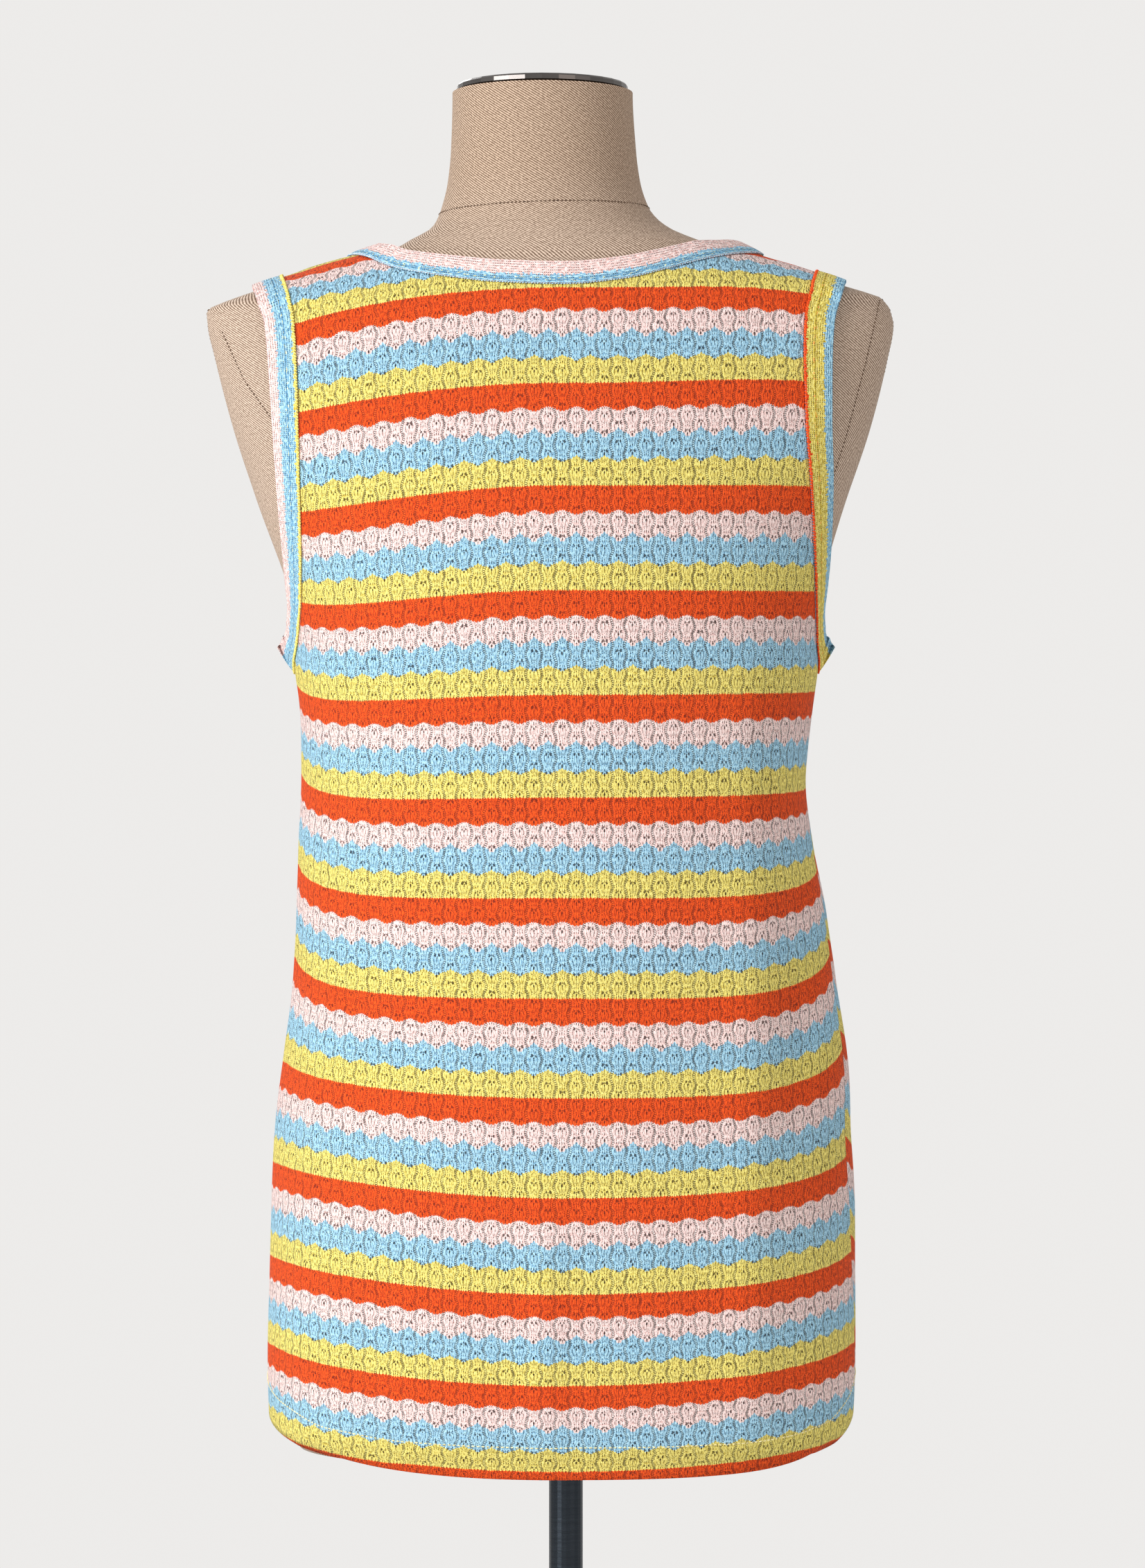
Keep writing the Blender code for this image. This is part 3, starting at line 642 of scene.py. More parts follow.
# Back panel. One piece of fine lace knit, knitted flat in four-colour stripes and cut
# with its stitch columns upright. It is sewn to the front at the shoulders and sides.
WALL_IN = 0.0003
WALL_OUT = 0.0014
SHOULDER_LIFT = 0.0016
UNDERARM = 0.735
HEM_RISE = 0.026
HEM_POWER_LEFT = 2.1
HEM_POWER_RIGHT = 3.7
FOLD_FADE_POWER = 8
FOLD_END = 0.06
SEAM_GAP = 0.0003
SHOULDER_SHARE = 3 / 28
NECK_SHARE = 1 - 2 * SHOULDER_SHARE
SHOULDER_TIP = {-1: -0.1560, 1: 0.1380}
NECK_POINT = {-1: -0.1198, 1: 0.1083}
PANEL_COLUMNS = 300
PANEL_LOWER_ROWS = 92
PANEL_UPPER_ROWS = 56
ROW_CROWDING = 1.3
Ease = namedtuple("Ease", "height left right back front")
EASE = [
    Ease(0.2900, 0.0075, 0.0050, 0.0065, 0.0080),
    Ease(0.3400, 0.0070, 0.0050, 0.0055, 0.0075),
    Ease(0.4000, 0.0065, 0.0050, 0.0060, 0.0090),
    Ease(0.4400, 0.0085, 0.0075, 0.0080, 0.0110),
    Ease(0.4800, 0.0150, 0.0135, 0.0135, 0.0160),
    Ease(0.5200, 0.0240, 0.0270, 0.0205, 0.0210),
    Ease(0.5600, 0.0300, 0.0345, 0.0245, 0.0240),
    Ease(0.6000, 0.0290, 0.0320, 0.0235, 0.0230),
    Ease(0.6400, 0.0230, 0.0215, 0.0180, 0.0175),
    Ease(0.6800, 0.0140, 0.0115, 0.0115, 0.0095),
    Ease(0.7200, 0.0085, 0.0090, 0.0060, 0.0030),
    Ease(0.7350, 0.0080, 0.0085, 0.0042, 0.0020),
    Ease(0.7500, 0.0052, 0.0057, 0.0034, 0.0020),
    Ease(0.7730, 0.0034, 0.0034, 0.0026, 0.0020),
    Ease(0.8000, 0.0024, 0.0024, 0.0022, 0.0020),
    Ease(0.8500, 0.0020, 0.0020, 0.0020, 0.0020),
    Ease(1.1000, 0.0020, 0.0020, 0.0020, 0.0020),
]
Edge = namedtuple("Edge", "height left right")
BACK_ARMHOLE = [
    Edge(0.7500, -0.1457, 0.1364),
    Edge(0.7733, -0.1429, 0.1352),
    Edge(0.7971, -0.1425, 0.1340),
    Edge(0.8374, -0.1432, 0.1316),
    Edge(0.8695, -0.1441, 0.1292),
    Edge(0.9049, -0.1458, 0.1286),
    Edge(0.9261, -0.1476, 0.1296),
    Edge(0.9440, -0.1530, 0.1340),
    Edge(0.9515, -0.1560, 0.1368),
    Edge(0.9540, -0.1560, 0.1380),
]
Neck = namedtuple("Neck", "across height")
BACK_NECK = [
    Neck(-0.0897, 0.9512),
    Neck(-0.0633, 0.9464),
    Neck(-0.0350, 0.9432),
    Neck(0.0000, 0.9421),
    Neck(0.0313, 0.9452),
    Neck(0.0555, 0.9511),
    Neck(0.0803, 0.9582),
]
Swing = namedtuple("Swing", "height turn")
RIGHT_SEAM = [
    Swing(0.3000, 3.0),
    Swing(0.3700, 8.0),
    Swing(0.4200, 13.0),
    Swing(0.4600, 15.0),
    Swing(0.5400, 12.0),
    Swing(0.6000, 10.0),
    Swing(0.6600, 4.0),
    Swing(0.7000, 0.0),
    Swing(0.7400, 0.0),
]
Fold = namedtuple("Fold", "across bottom top spread rise")
BACK_FOLDS = [
    Fold(-0.0115, 0.290, 0.480, 0.011, 0.0026),
    Fold(0.1000, 0.290, 0.760, 0.015, 0.0034),
    Fold(0.1265, 0.470, 0.670, 0.010, -0.0042),
    Fold(-0.1300, 0.300, 0.640, 0.016, 0.0026),
]


def cloth_outline(heights):
    """The cloth's inner outline at some heights: the form's, let out by the ease."""
    form = form_outline(heights - SHOULDER_LIFT)
    left, right, back, front = (read(EASE, c, heights) for c in Ease._fields[1:])
    return Section(
        heights,
        form.centre + (right - left) / 2,
        form.half + (left + right) / 2,
        form.mid,
        form.back + back,
        form.front + front,
        form.square,
    )


def fold_rise(across, height, folds):
    """How far the folds lift the cloth, each a rounded ridge that fades at its ends."""
    rise = np.zeros_like(across)
    for fold in folds:
        end = np.minimum(height - fold.bottom, fold.top - height) / FOLD_END
        side = (across - fold.across) / fold.spread
        rise += fold.rise * np.clip(end, 0, 1) * np.exp(-side * side)
    return rise


def fullness(points):
    """1 at points on the cloth, more outside it and less inside."""
    section = cloth_outline(points[..., 2])
    across = np.abs(points[..., 0] - section.centre) / section.half
    away = points[..., 1] - section.mid
    along = np.abs(away) / reach(section, away)
    return across**section.square + along**section.square


def outward(points):
    """Unit directions straight out of the cloth at points on it."""
    step = 0.0002
    found = np.empty_like(points)
    for axis in range(3):
        shift = np.zeros(3)
        shift[axis] = step
        found[..., axis] = fullness(points + shift) - fullness(points - shift)
    return found / np.linalg.norm(found, axis=-1, keepdims=True)


SHOULDER_LOW, SHOULDER_TOP = 0.936, 1.03
SHOULDER_DIVIDE = -0.01
ridge_steps = np.linspace(SHOULDER_LOW, SHOULDER_TOP, 4000)
ridge_outline = cloth_outline(ridge_steps)


def ridge_height(across):
    """Height of the shoulder line, where the section is just as wide as this place."""
    left = ridge_outline.centre - ridge_outline.half
    right = ridge_outline.centre + ridge_outline.half
    rising = np.interp(across, left, ridge_steps)
    falling = np.interp(-across, -right, ridge_steps)
    return np.where(across < SHOULDER_DIVIDE, rising, falling)


def side_edge(height):
    """The cloth's widest places left and right at one height."""
    section = cloth_outline(np.array([height]))
    return Edge(
        height,
        float(section.centre[0] - section.half[0]),
        float(section.centre[0] + section.half[0]),
    )


def armhole_place(armhole, height, sides):
    """How far across the armhole's edge lies, on the left (-1) or the right (1)."""
    table = [side_edge(UNDERARM)] + armhole
    left, right = read(table, "left", height), read(table, "right", height)
    return np.where(sides < 0, left, right)


def lower_points(shares, rises, facing, hem, folds):
    """Cloth below the underarm, rises from 0 at the hem to 1."""
    power = np.where(shares < 0, HEM_POWER_LEFT, HEM_POWER_RIGHT)
    bottom = hem + HEM_RISE * np.abs(shares) ** power
    height = bottom + (UNDERARM - bottom) * rises
    quarter = math.pi / 2 + np.where(
        shares > 0, facing * np.radians(read(RIGHT_SEAM, "turn", height)), 0.0
    )
    section = cloth_outline(height)
    power = 2 / section.square
    sideways, forwards = np.sin(shares * quarter), np.cos(shares * quarter)
    across = section.centre + bowed(section.half, sideways, power)
    way = np.copysign(facing, facing * forwards)
    y = section.mid + way * reach(section, way) * np.abs(forwards) ** power
    flat = 1 - np.abs(shares) ** FOLD_FADE_POWER
    y += facing * fold_rise(across, height, folds) * flat
    return np.stack([across, y, height], axis=-1)


def upper_points(shares, rises, facing, hem, folds, armhole, neck, crowding):
    """Cloth above the underarm, rises from 0 there to 1 at the top edge."""
    sides = np.where(shares < 0, -1, 1)
    tip = np.where(shares < 0, SHOULDER_TIP[-1], SHOULDER_TIP[1])
    corner = np.where(shares < 0, NECK_POINT[-1], NECK_POINT[1])
    inside = np.clip(1 - np.abs(shares) / NECK_SHARE, 0, 1)
    past = np.clip((np.abs(shares) - NECK_SHARE) / (1 - NECK_SHARE), 0, 1)
    top_across = corner * (1 - inside**crowding) + (tip - corner) * past
    ends = [Neck(a, float(ridge_height(np.array(a)))) for a in NECK_POINT.values()]
    top_height = np.where(
        past > 0,
        ridge_height(top_across),
        read([ends[0]] + neck + [ends[1]], "height", top_across),
    )
    height = UNDERARM + (top_height - UNDERARM) * rises
    edge_height = UNDERARM + (ridge_height(tip) - UNDERARM) * rises
    low = lower_points(shares, np.ones_like(rises), facing, hem, folds)[..., 0]
    low_turn = low / armhole_place(armhole, UNDERARM, sides)
    blend = rises * rises * (3 - 2 * rises)
    turn = low_turn + (top_across / tip - low_turn) * blend
    across = armhole_place(armhole, edge_height, sides) * turn
    section = cloth_outline(height)
    share = np.clip(np.abs(across - section.centre) / section.half, 0, 1)
    out = (1 - share**section.square) ** (1 / section.square)
    y = section.mid + facing * reach(section, facing) * out
    y += facing * fold_rise(across, height, folds)
    at_ridge = (rises > 0.9999) & (past > 0)
    y = np.where(at_ridge, section.mid + facing * SEAM_GAP / 2, y)
    return np.stack([across, y, height], axis=-1)


def panel_points(facing, hem, folds, armhole, neck, crowding):
    """Inner points of a panel's cloth, row by row from the hem up."""
    columns = np.linspace(-1, 1, PANEL_COLUMNS + 1)
    shares, rises = np.meshgrid(columns, np.linspace(0, 1, PANEL_LOWER_ROWS + 1))
    below = lower_points(shares, rises, facing, hem, folds)
    crowded = 1 - (1 - np.linspace(0, 1, PANEL_UPPER_ROWS + 1)[1:]) ** ROW_CROWDING
    shares, rises = np.meshgrid(columns, crowded)
    above = upper_points(shares, rises, facing, hem, folds, armhole, neck, crowding)
    return np.concatenate([below, above])


def cloth_across(points):
    """How far round the body each point lies from the middle, along the cloth."""
    steps = np.linspace(0, 1, 61)[:, None, None]
    section = cloth_outline(points[..., 2])
    away = points[..., 1] - section.mid
    share = np.clip(np.abs(points[..., 0] - section.centre) / section.half, 0, 1)
    turn = np.arcsin(share ** (section.square / 2))
    turn = np.where(away * facing_of(points) < 0, math.pi - turn, turn) * steps
    x = section.half * np.sin(np.clip(turn, 0, math.pi)) ** (2 / section.square)
    y = reach(section, away) * np.abs(np.cos(turn)) ** (2 / section.square)
    y = np.where(turn > math.pi / 2, -y, y)
    length = np.hypot(np.diff(x, axis=0), np.diff(y, axis=0)).sum(axis=0)
    return np.copysign(length, points[..., 0] - section.centre) + section.centre


def facing_of(points):
    """-1 for a back panel's points and 1 for a front's, from its middle column."""
    middle = points[:, points.shape[1] // 2, 1].mean()
    return -1 if middle < 0 else 1


STRIPES = 0.0548
Course = namedtuple("Course", "height left_near left_far right_near right_far")
NEAR, FAR, FARTHEST = 0.09, 0.155, 0.185
SHOULDER_PACKING = 1.20
HEM_PACKING = 1.035
BACK_COURSES = [
    Course(0.9344, -0.0062, -0.0200, 0.0014, -0.0050),
    Course(0.8797, -0.0055, -0.0135, 0.0032, 0.0032),
    Course(0.8241, -0.0060, -0.0110, 0.0012, 0.0026),
    Course(0.7682, -0.0045, -0.0040, 0.0005, 0.0022),
    Course(0.7124, -0.0020, 0.0008, 0.0010, 0.0030),
    Course(0.6578, -0.0007, 0.0050, 0.0008, 0.0034),
    Course(0.6043, 0.0002, 0.0075, 0.0002, 0.0080),
    Course(0.5508, 0.0012, 0.0095, 0.0006, 0.0115),
    Course(0.4980, 0.0033, 0.0095, 0.0012, 0.0110),
    Course(0.4452, 0.0042, 0.0098, 0.0022, 0.0095),
    Course(0.3944, 0.0042, 0.0098, 0.0027, 0.0092),
    Course(0.3459, 0.0034, 0.0092, 0.0030, 0.0088),
]


def back_courses(points, across):
    """Place along the stitch columns, in metres of knit, 0 at the top red stripe."""
    heights = []
    for course in BACK_COURSES:
        near = np.where(across < 0, course.left_near, course.right_near)
        far = np.where(across < 0, course.left_far, course.right_far)
        steep = (far / FAR**2 - near / NEAR**2) / (FAR**2 - NEAR**2)
        gentle = near / NEAR**2 - steep * NEAR**2
        span = np.minimum(np.abs(across), FARTHEST)
        heights.append(course.height + gentle * span**2 + steep * span**4)
    along = np.zeros_like(across)
    for above, below in zip(heights, heights[1:]):
        along -= STRIPES * np.clip((above - points[..., 2]) / (above - below), 0, 1)
    left_over = (heights[-1] - points[..., 2]) * HEM_PACKING
    last = heights[-2] - heights[-1]
    along -= STRIPES * np.clip(left_over, 0, None) / last
    steps = np.linalg.norm(np.diff(points, axis=0), axis=-1)
    length = np.concatenate([np.zeros((1, points.shape[1])), np.cumsum(steps, axis=0)])
    for column in range(points.shape[1]):
        over = points[:, column, 2] - heights[0][:, column]
        if over[-1] > 0:
            start = np.interp(0, over, length[:, column])
            extra = np.clip(length[:, column] - start, 0, None)
            along[:, column] += extra * SHOULDER_PACKING
    return along


def shell_mesh(name, inside, outside, cloth, finish):
    """A closed thin shell between two like grids, with its place in the knit as UV."""
    rows, columns = inside.shape[:2]
    r, c = np.meshgrid(np.arange(rows - 1), np.arange(columns - 1), indexing="ij")
    a = (r * columns + c).reshape(-1)
    quads = np.stack([a, a + 1, a + columns + 1, a + columns], axis=-1)
    count = rows * columns
    rim = list(range(columns))
    rim += [i * columns + columns - 1 for i in range(1, rows)]
    rim += [(rows - 1) * columns + i for i in range(columns - 2, -1, -1)]
    rim += [i * columns for i in range(rows - 2, 0, -1)]
    rim = np.array(rim)
    beside = np.roll(rim, -1)
    edge = np.stack([rim, beside, beside + count, rim + count], axis=-1)
    faces = np.concatenate([quads[:, ::-1], quads + count, edge])
    points = np.concatenate([inside.reshape(-1, 3), outside.reshape(-1, 3)])
    mesh = bpy.data.meshes.new(name)
    mesh.from_pydata(points.tolist(), [], faces.tolist())
    layer = mesh.uv_layers.new(name="knit")
    place = np.concatenate([cloth.reshape(-1, 2)] * 2)[faces.reshape(-1)]
    layer.data.foreach_set("uv", place.astype(np.float32).reshape(-1))
    mesh.materials.append(finish)
    mesh.shade_smooth()
    return mesh


def step_ramp(tree, amount, stops):
    """A plain colour for each stretch of an amount, from its own start on."""
    ramp = add_node(tree, "ShaderNodeValToRGB", inputs={0: amount})
    ramp.color_ramp.interpolation = "CONSTANT"
    marks = ramp.color_ramp.elements
    for i, (start, colour) in enumerate(stops):
        mark = marks[i] if i < 2 else marks.new(start)
        mark.position = start
        mark.color = (*colour, 1)
    return ramp.outputs[0]


def zigzag(value, term):
    """A straight rise to 1 and fall to 0 in each unit."""
    return value("MULTIPLY", value("PINGPONG", term, 0.5), 2.0)


def stitch_legs(value, wale, ring, slope, least):
    """How much light the two legs of a V stitch take, from its wale and its ring."""
    leg = value("POWER", value("SINE", value("MULTIPLY", wale, math.pi)), 0.7)
    loop = value("MULTIPLY_ADD", ring, 0.60, 0.45)
    crown = value("MULTIPLY_ADD", wale, slope, least)
    return value("MULTIPLY", value("MULTIPLY", leg, loop), crown)


# The wales, the ladder and the eyelets count from their column's middle, in millimetres.
COLUMN_MM = 7.5
REPEAT_MM = 9.96
WALE_MM = 1.5
FIRST_COLUMN = 3.24
FIRST_REPEAT = 0.324
SWELL = 0.098
UNEVENNESS = 0.0010
TOOTH = 0.0009
STITCH_SLANT = 0.6
PEAK_RISE = 0.0012
PEAK_TURN = 0.666
Border = namedtuple("Border", "start wave sharp")
BORDERS = [
    Border(0.0, 0.52, 0.2),
    Border(0.256, 0.20, 0.8),
    Border(0.515, 0.97, 0.9),
    Border(0.760, 0.30, 0.0),
]
YARN_LIGHT, YARN_FUZZ, FUZZ_LEVEL = 1.35, 1.3, -0.78
LADDER_HALF, LADDER_SOFT, LADDER_LIGHT = 0.52, 0.12, 0.95
RUNG_HALF, RUNG_SOFT, RUNG_DROP = 0.33, 0.07, 0.00022
PORE_WALE, PORE_RING, PORE_CHANCE = 0.44, 0.58, 0.56
GROOVE_DEPTH, HOLE_DEPTH = 1.3, 1.4
Eyelet = namedtuple("Eyelet", "across above squeeze half")
PAIR_EYELET = Eyelet(0.92, 2.0, 2.0, 0.72)
LONE_EYELET = Eyelet(0.0, 0.7, 2.4, 0.62)
FOOT_EYELET = Eyelet(0.75, -2.9, 2.4, 0.42)
EYELET_SOFT = 0.16
EYELET_VARIES = 2.4


def knit_group():
    """Striped lace knit on a UV in metres. Upright ladders part columns that swell to
    almonds and narrow again, out of step with their neighbours. Each column is four
    wales of V stitches, with three eyelets at the head of each almond and two small
    ones at its foot."""
    group, (knit, column_width, repeat, round_height, wave_height, pitch, *_) = new_group(
        "striped_lace_knit",
        {"Knit": "Vector"} | dict.fromkeys(("Column", "Repeat", "Stripes", "Wave", "Course"), "Float"),
        dict.fromkeys(("Stripe", "Yarn", "Pore", "Hole", "Height"), "Float"),
    )
    out = group.nodes.new("NodeGroupOutput")
    value = math_chain(group)

    def within(term, edge, soft):
        """1 where a distance is under an edge, with a soft border."""
        node = add_node(
            group,
            "ShaderNodeMapRange",
            interpolation_type="SMOOTHSTEP",
            inputs={0: term, 1: edge - soft, 2: edge + soft, 3: 1.0, 4: 0.0},
        )
        return node.outputs[0]

    def from_eyelet(eyelet, across, above):
        """Distance from an eyelet's middle, its width squeezed to a slit."""
        if eyelet.across:
            across = value("SUBTRACT", across, eyelet.across)
        x = value("POWER", value("MULTIPLY", across, eyelet.squeeze), 2)
        y = value("POWER", value("SUBTRACT", above, eyelet.above), 2)
        return value("SQRT", value("ADD", x, y))

    # The grain of the yarn, drawn out along the wales, and the knit's unevenness.
    uneven = noise(group, knit, scale=210.0, detail=2.0)
    parts = add_node(group, "ShaderNodeSeparateXYZ", inputs={0: knit})
    tall = add_node(
        group,
        "ShaderNodeCombineXYZ",
        inputs={0: parts.outputs[0], 1: value("MULTIPLY", parts.outputs[1], 0.40)},
    )
    grain = noise(group, tall.outputs[0], scale=1350.0, detail=0.0)
    drift = value("MULTIPLY_ADD", uneven, UNEVENNESS, -UNEVENNESS / 2)

    # Columns that swell and narrow by turns.
    across = value("DIVIDE", value("ADD", parts.outputs[0], drift), column_width)
    u = value("ADD", across, FIRST_COLUMN)
    v = value("ADD", parts.outputs[1], drift)
    rows = value("SUBTRACT", value("DIVIDE", v, repeat), FIRST_REPEAT)
    upright = value("MULTIPLY", u, math.pi)
    phase = value("MULTIPLY", rows, math.tau)
    lean = value("MULTIPLY", value("SINE", upright), value("COSINE", phase))
    swell = value("MULTIPLY_ADD", lean, -SWELL, u)
    column = value("ROUND", swell)
    beside = value("MULTIPLY", value("SUBTRACT", swell, column), COLUMN_MM)
    from_middle = value("ABSOLUTE", beside)

    # Scalloped borders: each colour's edge has its own wave, round or pointed.
    share = value("DIVIDE", v, round_height)
    bends = [(border.start, (border.wave, border.sharp, 0)) for border in BORDERS]
    edges = step_ramp(group, value("FRACT", share), bends)
    bend = add_node(group, "ShaderNodeSeparateColor", inputs={0: edges})
    wave = value("COSINE", upright)
    sharp = value("POWER", wave, 3)
    blunt = value("MULTIPLY", wave, value("SUBTRACT", 1.0, bend.outputs[1]))
    mixed = value("ADD", blunt, value("MULTIPLY", sharp, bend.outputs[1]))
    turned = value("MULTIPLY_ADD", value("PINGPONG", value("FLOOR", share), 1.0), -2.0, 1.0)
    strength = value("MULTIPLY", value("MULTIPLY_ADD", bend.outputs[0], 2.0, -1.0), turned)
    border_at = value("MULTIPLY_ADD", value("MULTIPLY", mixed, strength), wave_height, v)

    # V stitches, in courses that arch over each almond, their legs painted lit and the gaps between
    # them painted shaded.
    wale = zigzag(value, value("DIVIDE", beside, WALE_MM))
    teeth = value("MULTIPLY", wale, TOOTH)
    stripe = value("FRACT", value("DIVIDE", value("ADD", border_at, teeth), round_height))
    group.links.new(stripe, out.inputs["Stripe"])
    peak = value("MULTIPLY", sharp, value("SINE", value("ADD", phase, PEAK_TURN)))
    course = value("MULTIPLY_ADD", peak, PEAK_RISE, v)
    ring = zigzag(value, value("MULTIPLY_ADD", wale, STITCH_SLANT, value("DIVIDE", course, pitch)))
    fuzz = value("MULTIPLY_ADD", grain, YARN_FUZZ, FUZZ_LEVEL)
    legs = stitch_legs(value, wale, ring, slope=0.55, least=0.60)
    lit_legs_and_fuzz = value("MULTIPLY_ADD", legs, YARN_LIGHT, fuzz)

    # Ladders between the columns, with a rung for each course.
    from_ladder = value("SUBTRACT", COLUMN_MM / 2, from_middle)
    ladder = within(from_ladder, LADDER_HALF, LADDER_SOFT)
    rung_at = value("DIVIDE", value("MULTIPLY_ADD", from_middle, RUNG_DROP, course), pitch)
    ragged = value("MULTIPLY_ADD", uneven, -0.7, 0.35)
    rung = value("ADD", value("PINGPONG", rung_at, 0.5), ragged)
    gap = value("MULTIPLY", ladder, within(rung, RUNG_HALF, RUNG_SOFT))
    thread = value("MAXIMUM", lit_legs_and_fuzz, value("MULTIPLY", ladder, LADDER_LIGHT))
    group.links.new(thread, out.inputs["Yarn"])

    # Eyelets at the head and the foot of each almond, larger and smaller by chance.
    odd = value("MULTIPLY", value("PINGPONG", column, 1.0), 0.5)
    in_rows = value("ADD", rows, odd)
    from_row = value("SUBTRACT", in_rows, value("ROUND", in_rows))
    above = value("MULTIPLY", from_row, REPEAT_MM)
    bigger = value("MULTIPLY_ADD", uneven, EYELET_VARIES, -EYELET_VARIES / 2)
    pair = value("ADD", from_eyelet(PAIR_EYELET, from_middle, above), bigger)
    lone = value("SUBTRACT", from_eyelet(LONE_EYELET, beside, above), bigger)
    foot = from_eyelet(FOOT_EYELET, from_middle, above)
    pair = within(pair, PAIR_EYELET.half, EYELET_SOFT)
    lone = within(lone, LONE_EYELET.half, EYELET_SOFT)
    foot = value("MULTIPLY", within(foot, FOOT_EYELET.half, EYELET_SOFT), 0.8)
    eyelets = value("MAXIMUM", value("MAXIMUM", pair, lone), foot)
    hole = value("MAXIMUM", gap, eyelets)
    group.links.new(hole, out.inputs["Hole"])

    # Pores between neighbouring stitches, here and there; the material paints them in shade colour.
    sink = value("MULTIPLY", within(wale, PORE_WALE, 0.12), within(ring, PORE_RING, 0.16))
    chance = within(grain, PORE_CHANCE, 0.10)
    plain = value("SUBTRACT", 1.0, ladder)
    pore = value("MULTIPLY", value("MULTIPLY", sink, chance), plain)
    group.links.new(pore, out.inputs["Pore"])

    groove = value("MULTIPLY", within(from_ladder, 1.0, 0.8), -GROOVE_DEPTH)
    relief = value("MULTIPLY_ADD", hole, -HOLE_DEPTH, value("ADD", thread, groove))
    group.links.new(relief, out.inputs["Height"])
    return group


KNIT = knit_group()
COLUMN_WIDTH = COLUMN_MM / 1000
LACE_REPEAT = STRIPES / 5.5
BORDER_WAVE = 0.0027
COURSE_PITCH = 0.0010
# Each yarn as a painted lit and a painted shaded copy of one colour, mixed across the stitches.
RED_LIT, RED_SHADED = (1.00, 0.125, 0.018), (0.46, 0.032, 0.006)
PINK_LIT, PINK_SHADED = (0.98, 0.86, 0.84), (0.74, 0.45, 0.42)
BLUE_LIT, BLUE_SHADED = (0.53, 0.83, 0.97), (0.115, 0.31, 0.51)
YELLOW_LIT, YELLOW_SHADED = (1.00, 0.91, 0.30), (0.54, 0.40, 0.040)
# Painted shade for the eyelets, ladder gaps and pores of each stripe, where the dark beneath the knit
# shows.
RED_GAP_SHADE, PINK_GAP_SHADE = (0.170, 0.020, 0.010), (0.026, 0.009, 0.007)
BLUE_GAP_SHADE, YELLOW_GAP_SHADE = (0.012, 0.010, 0.014), (0.030, 0.014, 0.004)
RED = (RED_LIT, RED_SHADED, RED_GAP_SHADE)
PINK = (PINK_LIT, PINK_SHADED, PINK_GAP_SHADE)
BLUE = (BLUE_LIT, BLUE_SHADED, BLUE_GAP_SHADE)
YELLOW = (YELLOW_LIT, YELLOW_SHADED, YELLOW_GAP_SHADE)
ROUND_STOPS = [(0.0, RED), (0.134, YELLOW), (0.387, BLUE), (0.642, PINK), (0.877, RED)]


def stripe_tones(tree, share, stops):
    """Lit, shaded and gap-shade colours by stripes, each from its share of the width on: painted light
    on the stitches, painted shade between them and in the holes and pores.
    """
    return [
        step_ramp(tree, share, [(start, colours[tone]) for start, colours in stops])
        for tone in range(3)
    ]


def mix_colours(tree, amount, under, over):
    """One colour laid over another by an amount."""
    mix = add_node(tree, "ShaderNodeMix", data_type="RGBA")
    for key, term in ((0, amount), (6, under), (7, over)):
        if isinstance(term, bpy.types.NodeSocket):
            tree.links.new(term, mix.inputs[key])
        else:
            mix.inputs[key].default_value = term
    return mix.outputs[2]


def knit_material(name):
    """The panels' yarn colours, painted lit and shaded across each stitch, with painted shade in the
    pores, eyelets and ladders.
    """
    made, tree, shader = new_material(name, 0.86)
    place = add_node(tree, "ShaderNodeUVMap", uv_map="knit").outputs[0]
    knit = add_node(
        tree,
        "ShaderNodeGroup",
        node_tree=KNIT,
        inputs={
            "Knit": place,
            "Column": COLUMN_WIDTH,
            "Repeat": LACE_REPEAT,
            "Stripes": STRIPES,
            "Wave": BORDER_WAVE,
            "Course": COURSE_PITCH,
        },
    )
    light, dark, deep = stripe_tones(tree, knit.outputs["Stripe"], ROUND_STOPS)
    value = math_chain(tree)
    yarn = mix_colours(tree, value("ADD", knit.outputs["Yarn"], 0.0, clamp=True), dark, light)
    # Pores and holes are painted in the stripe's shade colour.
    pores = mix_colours(tree, value("MULTIPLY", knit.outputs["Pore"], 0.85), yarn, deep)
    holes = mix_colours(tree, value("MULTIPLY", knit.outputs["Hole"], 0.88), pores, deep)
    tree.links.new(holes, shader.inputs["Base Color"])
    add_relief(tree, shader, knit.outputs["Height"], strength=0.6, distance=0.0005)
    shader.inputs["Specular IOR Level"].default_value = 0.18
    return made


HEM_BACK = 0.3005
BACK_CROWDING = 1.15
back_inner = panel_points(
    -1, HEM_BACK, BACK_FOLDS, BACK_ARMHOLE, BACK_NECK, BACK_CROWDING
)
back_across = cloth_across(back_inner)
back_along = back_courses(back_inner, back_across)
back_way = outward(back_inner)
back_mesh = shell_mesh(
    "back_knit",
    back_inner + back_way * WALL_IN,
    back_inner + back_way * WALL_OUT,
    np.stack([back_across, back_along], axis=-1),
    knit_material("back_knit"),
)
back_knit = new_object("back_knit", back_mesh)
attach(back_knit, "root")
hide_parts("back_panel")


